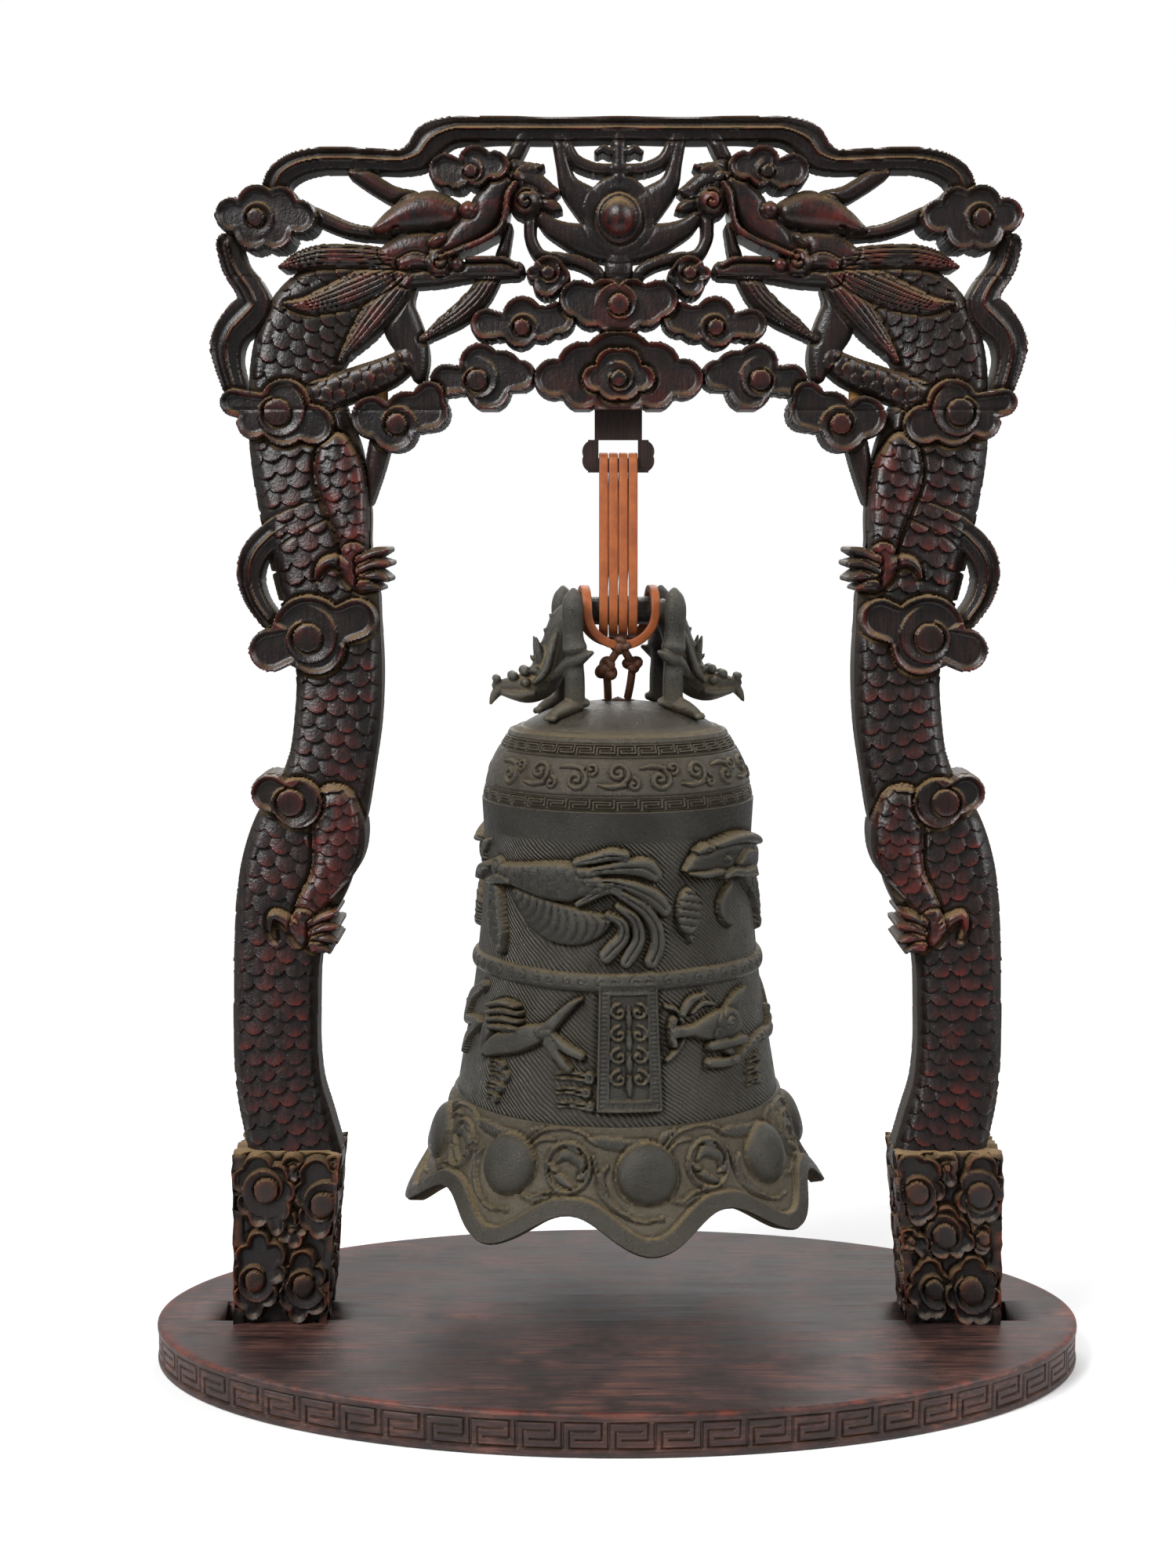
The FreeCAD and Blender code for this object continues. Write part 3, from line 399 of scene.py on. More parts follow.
def foot_block(name, node, face, clouds, seed):
    """A block: four carved sides wrapped round a taper, under a dusty top."""
    low, high = (np.array(corner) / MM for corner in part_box(node))
    side = 1 if low[0] > 0 else -1
    height = high[2] - base_height
    up = np.linspace(0, height, int(height / block_step) + 1)
    rise = up / height
    chance = np.random.default_rng(seed)
    (top_x, top_y, top_half), (foot_x, foot_y, foot_half) = face

    def placed(disc, width, mirrored):
        """A disc of the enlarged photograph on a side of this width, in mm."""
        u, v, radius = disc
        down = (v - top_y) / (foot_y - top_y)
        across = (u - top_x - (foot_x - top_x) * down) / (top_half + (foot_half - top_half) * down)
        return mirrored * across * width / 2, (1 - down) * height, radius / face_pixels_per_mm

    sides = []
    for number in range(4):
        width = block_top[number % 2]
        relief = Relief(np.linspace(-width / 2, width / 2, int(width / block_step) + 1), up, block_floor)
        relief.inside[:] = 1.0
        relief.height += 0.5 * np.sin(relief.X / 2.1 + number) * np.sin(relief.Z / 3.3)
        mirrored = 1 if number % 2 == 0 else -1
        for lobes, knob, way, start in clouds:
            cloud(relief, [placed(lobe, width, mirrored) for lobe in lobes], placed(knob, width, mirrored),
                  block_low, block_high, block_sink, way * mirrored, start if mirrored > 0 else 0.5 - start)
        relief.height += chance.normal(0, 0.04, relief.height.shape)
        sides.append(relief)
    levels = np.arange(0, height + corner_spacing, corner_spacing)
    ragged = [corner_swing * np.interp(up, levels, chance.uniform(-1, 1, len(levels))) - corner_depth
              for _ in sides]
    normals = [(0, -1), (1, 0), (0, 1), (-1, 0)]
    middle_x = (low[0] + high[0]) / 2 - side * block_inset + side * block_shift * (1 - rise)
    half_sizes = [(foot + (top - foot) * rise) / 2 for foot, top in zip(block_foot, block_top)]
    columns, shares = [], []
    for number, relief in enumerate(sides):
        start, end = ragged[number - 1], ragged[number]
        # The third share, how deep each hollow lies, is painted on the block as shade
        wear, dust, pits = wear_shares(relief)
        share = (relief.across - relief.across[0]) / (relief.across[-1] - relief.across[0])
        half_w, half_d = half_sizes[number % 2], half_sizes[1 - number % 2]
        nx, ny = normals[number]
        hold = 1 - ease((np.minimum(share, 1 - share) * 2 * half_w.mean() - 0.2) / 1.3)
        for index in range(len(share) - 1):
            kept = 1 - hold[index]
            corner = start if share[index] < 0.5 else end
            out = half_d + (relief.height[:, index] * kept + corner * hold[index])
            along = -(half_w + start) + (2 * half_w + start + end) * share[index]
            columns.append(np.c_[nx * out - ny * along + middle_x, ny * out + nx * along, up + base_height])
            shares.append((np.clip(0.6 * wear[:, index] + 0.9 * hold[index], 0, 1),
                           0.55 * dust[:, index] * kept, pits[:, index] * kept))
    sheet = np.array(columns).transpose(1, 0, 2)
    worn, dusty, deep = np.array(shares).transpose(1, 2, 0)
    dusty = np.maximum(dusty, 0.9 * ease((up - height + 2.2) / 2.2)[:, None] * (1 - 0.6 * worn))
    middle = sheet[-1].mean(0)
    inner = [middle + (sheet[-1] - middle) * share + [0, 0, raised]
             for share, raised in ((0.94, 0.25), (0.6, 0))]
    sheet = np.concatenate([sheet, inner])
    places = np.concatenate([sheet.reshape(-1, 3), [sheet[0].mean(0), middle]])
    worn, dusty, deep = (np.r_[values.ravel(), np.full(len(places) - values.size, on_top)]
                         for values, on_top in ((worn, 0.0), (dusty, 1.0), (deep, 0.0)))
    return make_piece(name, places, closed_sheet(*sheet.shape[:2]), block_wood,
                      worn=worn, dusty=dusty, deep=deep)


block_wood = rosewood("waxed_rosewood_blocks", "#120d0c", "#241613", "#6a3218", (0.9, 0.9, 0.06), 0.4, 0.45)
for node, face, clouds, seed in (("foot_block_left", left_face, left_clouds, 5),
                                 ("foot_block_right", right_face, right_clouds, 6)):
    block = foot_block("carved_" + node, node, face, clouds, seed)
    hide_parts(node)
    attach(block, "stand")


# The legs and the pierced panel: two legs, each a dragon's body coming down from the clouds, under a panel of
# two boards where the dragons face a pearl. All are sawn and carved from rosewood, the joints show as lines.
# The carving is one sheet of heights for both faces, cut into four pieces with walls round every opening.
arch_step = 0.42
seam_gap = 0.02
# Where the carving was measured in the photograph: its lens, its tilt and the line that the arch stands on
lens_pixels = 2778.0
view_column, view_row = 750.0, 1000.0
view_tilt = math.radians(7.085)
view_distance = 754.0
view_height = 304.0
axis_top, axis_foot = 794.0, 763.0
lean_start, lean_span = 300.0, 1170.0
panel_lean, panel_foot = 0.02, 540.0
leg_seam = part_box("leg_left")[1].z / MM
board_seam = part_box("arch_lower_board")[1].z / MM
arch_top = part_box("arch_upper_board")[1].z / MM
block_top_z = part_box("leg_left")[0].z / MM
# Strokes as rows of (across, down, half width) in pixels of the photograph, left half
ribbons = {
    "top_rail": [(815, 161, 14), (700, 160, 14.5), (620, 158, 15), (574, 160, 17), (550, 172, 21),
                 (538, 188, 19), (520, 196, 14.5), (490, 196, 14), (440, 193, 14), (400, 194, 14.5),
                 (375, 201, 15.5), (358, 214, 16), (351, 234, 17)],
    "side_scroll": [(292, 300, 15), (300, 330, 16), (318, 358, 18), (324, 377, 20), (311, 392, 23),
                    (294, 410, 21), (286, 430, 20), (287, 450, 17), (293, 475, 15), (300, 500, 14)],
    "leg_scroll": [(408, 648, 13), (370, 664, 15), (337, 684, 17), (314, 712, 17), (309, 740, 15),
                   (317, 768, 13), (333, 792, 12)]}
dragon = {
    "neck": [(368, 500, 55), (372, 465, 57), (382, 432, 60), (400, 402, 62), (430, 374, 56),
             (466, 352, 42), (505, 340, 28)],
    "crest": [(487, 284, 9), (512, 272, 18), (535, 264, 24), (556, 262, 25), (578, 266, 18)],
    "cheek": [(500, 316, 14), (528, 314, 26), (552, 312, 22), (572, 318, 16)],
    "snout": [(560, 318, 9), (588, 300, 17), (611, 279, 21), (630, 254, 22), (645, 233, 19),
              (662, 225, 13)],
    "lip": [(566, 323, 3), (596, 312, 4), (624, 300, 4), (643, 287, 4), (649, 266, 4), (653, 243, 4),
            (661, 230, 3)],
    "lower_jaw": [(520, 346, 14), (560, 344, 14), (600, 340, 12), (640, 339, 13), (662, 340, 11)],
    "jaw_line": [(600, 326, 3.5), (625, 326, 3.5), (650, 328, 3.5), (661, 335, 3)],
    "tooth": [(652, 285, 6), (648, 305, 7), (642, 326, 9)],
    "tufts": [(516, 330, 7), (532, 326, 10), (548, 330, 7), (556, 340, 4)],
    "upper_horn": [(530, 246, 11), (505, 240, 11), (484, 228, 11), (466, 216, 11), (451, 211, 6)],
    "lower_horn": [(518, 291, 8), (482, 289, 8), (450, 284, 9), (425, 274, 10), (400, 262, 10)],
    "upper_mane": [(520, 326, 11), (490, 322, 14), (450, 318, 15), (410, 318, 15), (380, 324, 11),
                   (360, 331, 3)],
    "middle_mane": [(522, 334, 8), (492, 346, 17), (455, 361, 20), (418, 374, 16), (385, 381, 9),
                    (365, 378, 3)],
    "lower_mane": [(524, 344, 10), (504, 366, 18), (480, 394, 18), (458, 421, 13), (440, 443, 6),
                   (433, 453, 3)],
    "throat": [(512, 352, 22), (514, 380, 14), (512, 405, 24), (522, 430, 22), (530, 452, 16),
               (533, 474, 9)],
    "forearm": [(517, 452, 15), (494, 466, 19), (462, 478, 21), (430, 488, 21), (400, 500, 20)],
    "shank": [(481, 562, 14), (472, 598, 12), (463, 640, 6)],
    "upper_limb": [(424, 572, 22), (428, 600, 32), (437, 645, 27), (443, 680, 20), (445, 708, 16)],
    "lower_limb": [(412, 1030, 30), (416, 1060, 34), (414, 1092, 31), (399, 1124, 22),
                   (380, 1152, 18), (369, 1176, 15)],
    "leg": [(377, 545, 66), (388, 600, 72), (396, 650, 70), (402, 700, 63), (411, 750, 62),
            (418, 800, 57), (421, 860, 55), (417, 920, 55), (408, 975, 55), (394, 1025, 60),
            (374, 1070, 70), (358, 1115, 70), (341, 1165, 60), (332, 1225, 55), (329, 1290, 54),
            (328, 1350, 54), (332, 1400, 55), (341, 1440, 57), (351, 1482, 58)]}
vines = {
    "whisker": [(630, 345, 13), (612, 372, 15), (588, 394, 14), (562, 411, 10), (540, 426, 5)],
    "chin_vine": [(680, 272, 8), (682, 304, 8), (692, 321, 8), (720, 326, 7.5), (747, 333, 8),
                  (766, 346, 8), (770, 362, 7)],
    "crescent": [(694, 272, 8), (706, 284, 11), (727, 295, 15), (752, 303, 21), (780, 307, 25),
                 (812, 309, 25)],
    "lyre_arm": [(715, 164, 9), (722, 205, 9), (730, 232, 13), (748, 250, 19), (770, 268, 26)],
    "swag": [(722, 170, 8), (738, 200, 8), (758, 210, 7.5), (812, 211, 6.5)],
    "upper_post": [(797, 166, 14), (797, 218, 14), (797, 240, 22), (797, 262, 46)],
    "lower_post": [(797, 320, 22), (797, 350, 22), (797, 400, 26), (797, 440, 34)],
    "nose_rib": [(672, 166, 10), (660, 192, 9), (646, 212, 9)],
    "nose_flame": [(686, 246, 14), (702, 254, 10), (713, 261, 7), (720, 264, 2)],
    "flame_upper": [(662, 212, 13), (680, 213, 11), (696, 208, 3)],
    "flame_middle": [(676, 222, 16), (694, 234, 13), (708, 240, 8), (717, 240, 2)],
    "hook": [(782, 190, 6), (773, 187, 5), (766, 191, 4)]}
claws = [
    [(438, 722, 9), (416, 715, 8), (403, 722, 6), (396, 737, 2)],
    [(445, 708, 16), (446, 728, 18), (455, 744, 14)],
    [(456, 716, 9), (474, 706, 8), (487, 702, 4)],
    [(456, 728, 9), (475, 720, 8), (489, 719, 4)],
    [(458, 741, 9), (475, 735, 8), (487, 739, 4)],
    [(456, 748, 8), (470, 749, 6), (478, 751, 3)],
    [(360, 1187, 9), (345, 1173, 8), (331, 1168, 7), (327, 1182, 5), (332, 1198, 2)],
    [(369, 1174, 15), (371, 1192, 17), (384, 1200, 13)],
    [(384, 1180, 9), (398, 1170, 8), (410, 1164, 4)],
    [(384, 1192, 9), (400, 1184, 8), (412, 1182, 4)],
    [(384, 1203, 9), (398, 1198, 8), (410, 1201, 4)],
    [(382, 1209, 8), (394, 1210, 6), (402, 1214, 3)]]
# The clouds as discs of (across, down, radius), then each one's knob
clouds = {
    "corner": ([(331, 252, 27), (300, 264, 23), (326, 285, 25), (354, 286, 24), (386, 268, 22),
                (362, 250, 22)], (330, 268, 11)),
    "upper": ([(572, 212, 22), (610, 203, 23), (635, 207, 19), (586, 218, 19), (612, 217, 17)],
              (604, 214, 8)),
    "small": ([(684, 346, 10), (703, 345, 22), (714, 352, 17), (700, 360, 18)], (702, 346, 8)),
    "middle": ([(622, 410, 21), (668, 400, 26), (714, 404, 22), (664, 418, 23), (692, 410, 23)],
               (667, 415, 10)),
    "lower": ([(568, 480, 21), (612, 460, 27), (640, 470, 27), (664, 476, 20), (622, 492, 29)],
              (608, 481, 13)),
    "seam_outer": ([(362, 507, 33), (398, 534, 26), (360, 540, 30), (320, 530, 21), (296, 503, 18)],
                   (352, 517, 17)),
    "seam_inner": ([(473, 526, 28), (500, 548, 29), (516, 521, 28), (547, 521, 24), (547, 500, 20)],
                   (504, 541, 13)),
    "leg_large": ([(386, 808, 49), (446, 790, 27), (394, 824, 38), (336, 830, 28)], (384, 814, 18)),
    "leg_small": ([(366, 1025, 33), (331, 1012, 25)], (357, 1024, 17))}
# Those on the middle line: the lobes of one half, the knob, the way its arm winds, or 0 for none, and the
# arm's start in turns
middle_clouds = [([(740, 380, 25), (756, 393, 24), (797, 396, 30), (775, 376, 22)], (797, 388, 13), 1, 0.55),
                 ([(706, 481, 26), (742, 466, 32), (797, 464, 42), (742, 496, 27), (797, 500, 30)],
                  (797, 483, 14), 0, 0.0),
                 ([(760, 482, 18), (780, 470, 20), (797, 466, 23), (797, 492, 20)], (797, 483, 10), 1, 0.4)]
# The notched spine that stands out along the leg's outer edge
spine = [(319, 575, 6), (326, 640, 6), (345, 740, 6), (366, 830, 6), (372, 880, 6), (366, 945, 6),
         (352, 985, 6), (322, 1050, 6), (298, 1107, 6), (287, 1146, 6), (284, 1180, 6), (281, 1243, 6),
         (280, 1322, 6), (281, 1386, 6), (288, 1430, 6), (300, 1470, 6)]
spine_tooth, spine_notch = 10.5, 1.7


def from_view(rows):
    """Rows of (across, down, size) in the photograph as (x, z, size) in mm on the arch's front."""
    across, down, size = np.array(rows, float).T
    axis = axis_top - np.maximum(down - lean_start, 0) / lean_span * (axis_top - axis_foot)
    level = np.where(down < panel_foot, down + (axis_top - across) * panel_lean, down)
    slope, scale_slope = (np.tan(view_tilt + np.arctan((row - view_row) / lens_pixels))
                          for row in (level, down))
    scale = view_distance * (math.cos(view_tilt) + scale_slope * math.sin(view_tilt)) / lens_pixels
    return np.column_stack([(across - axis) * scale, view_height - view_distance * slope, size * scale])


def smooth_line(points, count):
    """Evenly spaced places on one smooth line through some points, their sizes eased along with them."""
    if len(points) == 2:
        share = np.linspace(0, 1, count)[:, None]
        return points[0] * (1 - share) + points[1] * share
    chord = np.r_[0, np.cumsum(np.linalg.norm(np.diff(points[:, :-1], axis=0), axis=1))]
    run = np.diff(chord)
    slope = np.diff(points, axis=0) / run[:, None]
    lean = np.empty_like(points)
    lean[0], lean[-1] = slope[0], slope[-1]
    lean[1:-1] = (slope[:-1] * run[1:, None] + slope[1:] * run[:-1, None]) / (run[1:] + run[:-1])[:, None]
    at = np.linspace(0, chord[-1], count)
    span = np.clip(np.searchsorted(chord, at) - 1, 0, len(points) - 2)
    step = run[span][:, None]
    t = (at - chord[span])[:, None] / step
    return ((2 * t ** 3 - 3 * t ** 2 + 1) * points[span] + (t ** 3 - 2 * t ** 2 + t) * step * lean[span]
            + (3 * t ** 2 - 2 * t ** 3) * points[span + 1] + (t ** 3 - t ** 2) * step * lean[span + 1])


def stroke(relief, points, margin=3.0, spacing=1.2):
    """A band along a line: its window, depth inside, share across, way along and half width."""
    points = np.asarray(points, float)
    length = np.hypot(*np.diff(points[:, :2], axis=0).T).sum()
    line = smooth_line(points, max(12, int(length / spacing)))
    reach = line[:, 2].max() + margin
    win = relief.window(line[:, 0].min() - reach, line[:, 0].max() + reach,
                        line[:, 1].min() - reach, line[:, 1].max() + reach)
    X, Z = relief.X[win], relief.Z[win]
    fields = [np.full(X.shape, value) for value in (1e9, 0.0, 0.0, 1.0)]
    gone = 0.0
    for start, end in zip(line[:-1], line[1:]):
        way = end[:2] - start[:2]
        run = math.hypot(*way)
        room = max(start[2], end[2]) + margin
        low, high = np.minimum(start, end)[:2] - room, np.maximum(start, end)[:2] + room
        i0, i1 = np.searchsorted(relief.across[win[1]], [low[0], high[0]])
        j0, j1 = np.searchsorted(relief.up[win[0]], [low[1], high[1]])
        part = (slice(j0, j1), slice(i0, i1))
        px, pz = X[part] - start[0], Z[part] - start[1]
        share = (px * way[0] + pz * way[1]) / run ** 2
        held = np.clip(share, 0, 1)
        half = start[2] + (end[2] - start[2]) * held
        away = np.hypot(px - held * way[0], pz - held * way[1])
        side = np.sign(px * way[1] - pz * way[0])
        near = away - half < fields[0][part]
        for field, value in zip(fields, (away - half, side * away / half, gone + share * run, half)):
            field[part][near] = value[near]
        gone += run
    return win, -fields[0], fields[1], fields[2], fields[3]


def spiral(x, z, radius, turns, way, start, width):
    """Rows of a line that winds in to a place."""
    share = np.linspace(1, 0.12, max(8, int(turns * 10)))
    angle = start + way * (1 - share) * turns * 2 * math.pi
    return np.column_stack([x + radius * share * np.cos(angle), z + radius * share * np.sin(angle),
                            np.full(len(share), width)])


def crown(across, power):
    """The rounded section of a carved band, 1 along its middle and 0 at its edges."""
    return np.clip(1 - np.abs(across) ** power, 0, 1) ** (1 / power)


def scales(across, along, half, pitch, rise):
    """Overlapping scales in rows across a body, each one's rounded free edge proud of the next."""
    side = across * half
    radius = pitch * 0.6
    row_step = pitch * 0.74
    first = np.floor(along / row_step)
    height = np.zeros_like(side)
    done = np.zeros(side.shape, bool)
    for back in (1, 0, -1):
        row = first - back
        shift = np.where(np.mod(row, 2) == 0, 0.0, pitch / 2)
        column = np.round((side - shift) / pitch)
        chance = np.mod(np.sin(row * 12.9898 + column * 78.233) * 43758.5453, 1)
        off = side - (column * pitch + shift)
        ahead = along - row * row_step + (chance - 0.5) * pitch * 0.1
        reach = np.hypot(off, ahead * 0.95) / radius
        hit = (reach < 1) & ~done
        value = 0.15 + 0.85 * np.clip(ahead / radius * 0.6 + 0.45, 0, 1) - 0.25 * (off / radius) ** 2
        height = np.where(hit, rise * (value + 0.2 * (chance - 0.5)), height)
        done |= hit
    return height


def carve_body(relief, points, low, top, power=2.2, pitch=0, rise=1.2, groove=1.2, way=1):
    """A rounded limb or vine, scaled where a pitch is given."""
    win, depth, across, along, half = stroke(relief, points)
    height = low + (top - low) * crown(across, power)
    if pitch:
        height = height + scales(across, along * way, half, pitch, rise) * ease((1 - np.abs(across)) * 4)
    relief.lay(win, depth, height, groove)


def carve_mane(relief, points, low, top, strands=5):
    """A lock of mane cut into strands."""
    win, depth, across = stroke(relief, points)[:3]
    lines = np.abs(np.sin((across + 1) / 2 * math.pi * strands))
    relief.lay(win, depth, low + (top - low) * crown(across, 2.5) - (1 - lines) ** 2)


def carve_ribbon(relief, points, low, top):
    """A ribbon: a hollow band between its outer lip and a sharp line, and a plain slope inside the line."""
    win, depth, across = stroke(relief, points)[:3]
    shares = [-1, -0.85, -0.14, -0.03, 0.1, 0.45, 0.8, 0.92, 1.0]
    levels = [low, top - 1.7, top - 0.9, top + 0.8, top - 0.9, top - 1.8, top - 0.5, top + 0.1, low + 1]
    relief.lay(win, depth, np.interp(across, shares, levels), 0.8)


def carve_dome(relief, place, low, top, stretch=(1, 1), turn=0, power=2.0, groove=0.8):
    """A round or long boss."""
    x, z, radius = from_view([place])[0]
    reach = radius * max(stretch) + 3
    win = relief.window(x - reach, x + reach, z - reach, z + reach)
    X, Z = relief.X[win] - x, relief.Z[win] - z
    along = (X * math.cos(turn) + Z * math.sin(turn)) / stretch[0]
    aside = (Z * math.cos(turn) - X * math.sin(turn)) / stretch[1]
    away = np.hypot(along, aside) / radius
    relief.lay(win, (1 - away) * radius * min(stretch),
               low + (top - low) * np.clip(1 - away ** power, 0, 1) ** (1 / power), groove)


columns = int(143.5 / arch_step)
arch = Relief(np.arange(-columns, 1) * arch_step, np.arange(block_top_z - 1, arch_top + 2, arch_step), 0.0)
win, depth, across, along = stroke(arch, from_view(spine))[:4]
tooth = np.mod(along, spine_tooth) / spine_tooth
notch = spine_notch * (1 - ease(np.minimum(tooth, 1 - tooth) / 0.07))
arch.lay(win, depth - notch * (across > -0.2), 3.4 + 1.8 * crown(across, 3), 0.4)
lines = {name: from_view(rows) for name, rows in (ribbons | dragon | vines).items()}
for name in ("nose_rib", "swag", "hook", "upper_post", "lower_post", "lyre_arm", "crescent", "chin_vine"):
    carve_body(arch, lines[name], 4.5, 8.0, 2.6, groove=0.4)
carve_dome(arch, (797, 272, 50), 4.5, 7.6, power=8, groove=0.3)
carve_body(arch, lines["leg"], 5.0, 8.6, 2.2, pitch=7.2, rise=2.2)
carve_body(arch, lines["neck"], 4.0, 7.4, 2.4, pitch=6.4, rise=1.9, way=-1)
carve_body(arch, lines["forearm"], 5.0, 8.6, pitch=5.2, rise=1.5, way=-1)
carve_body(arch, lines["throat"], 4.5, 8.5)
for name, low, top, strands in (("whisker", 4.5, 9.0, 5), ("lower_mane", 5.5, 10.5, 5),
                                ("middle_mane", 5.5, 10.8, 6), ("upper_mane", 5.5, 10.5, 5)):
    carve_mane(arch, lines[name], low, top, strands)
for name, low, top, power in (("lower_horn", 4.5, 9, 2), ("upper_horn", 4.5, 9, 2), ("tooth", 5, 8.5, 2),
                              ("lower_jaw", 5, 9.5, 2.4), ("nose_flame", 4.5, 8.5, 2),
                              ("cheek", 5, 10.3, 2.2), ("crest", 5, 12.2, 2), ("snout", 5, 10.8, 2.6),
                              ("tufts", 7, 11.0, 2)):
    carve_body(arch, lines[name], low, top, power)
carve_body(arch, lines["jaw_line"], 8, 10.6, 2, groove=1.0)
carve_body(arch, lines["flame_upper"], 5, 9.0, 2)
carve_body(arch, lines["flame_middle"], 5, 9.0, 2)
# Nostril, brow, eye, jaw hinge and cheek, then the curls cut into them
carve_dome(arch, (674, 253, 21), 5, 12.0)
carve_dome(arch, (601, 263, 11), 8, 12.4)
carve_dome(arch, (562, 301, 13), 9, 12.6, (1, 0.55), math.radians(35))
carve_dome(arch, (563, 330, 17), 8, 12.0)
carve_dome(arch, (586, 332, 9), 8, 11.2)
carve_body(arch, lines["lip"], 9.5, 12.4, 2, groove=1.4)
for place, turns, way in (((675, 254, 14), 1.4, 1), ((563, 330, 12), 1.3, -1), ((508, 291, 9), 0.8, 1)):
    win, depth = stroke(arch, spiral(*from_view([place])[0], turns, way, 1.2, 0.55))[:2]
    arch.height[win] -= 1.5 * ease(depth / 0.5)
carve_body(arch, lines["shank"], 5, 9, 2)
for name in ribbons:
    carve_ribbon(arch, lines[name], 5, 9.0)
for name in ("upper_limb", "lower_limb"):
    carve_body(arch, lines[name], 8, 12.0, pitch=6.2, rise=1.9, groove=2.4)
for rows in claws:
    carve_body(arch, from_view(rows), 8.5, 13.0, 2, groove=1.8)
# The pearl in its ring
carve_dome(arch, (797, 277, 33), 5, 10.0, power=6)
carve_dome(arch, (797, 276, 26), 7, 14.6)
figures = arch.height.copy()
for name, (lobes, knob) in clouds.items():
    way = -1 if name in ("middle", "corner", "seam_inner") else 1
    top = 13.0 if name.startswith("leg") else 12.0
    cloud(arch, from_view(lobes), from_view([knob])[0], 6.2, top, way=way)
# The right half is the left one mirrored, and the clouds on the middle line wind across both
left_half = arch
arch = Relief(np.arange(-columns, columns + 1) * arch_step, left_half.up, 0.0)
arch.height, arch.inside = (np.c_[field, field[:, -2::-1]] for field in (left_half.height, left_half.inside))
for lobes, knob, way, start in middle_clouds:
    lobes, knob = from_view(lobes), from_view([knob])[0] * (0, 1, 1)
    cloud(arch, np.r_[lobes, lobes * (-1, 1, 1)], knob, 6.2, 12.0, 3.0, way, start)
arch.height += np.random.default_rng(3).normal(0, 0.03, arch.height.shape)
arch_worn, arch_dusty, arch_painted_shade = wear_shares(arch)
arch_dusty *= 0.35 + 0.65 * ease((arch.inside - 1.0) / 2.0)
# What stands out most, such as scales and brows, is rubbed, and the hollows between are painted near black as
# shade
on_figure = figures == left_half.height
on_figure = np.c_[on_figure, on_figure[:, -2::-1]]
arch_worn = np.clip(0.8 * arch_worn + 0.5 * on_figure * ease((arch.height - 8.8) / 2.0), 0, 1)
arch_painted_shade = np.clip(1.6 * arch_painted_shade, 0, 1)
arch_upward = np.clip(-np.gradient(arch.inside, arch_step, axis=0) * 1.2, 0, 1)


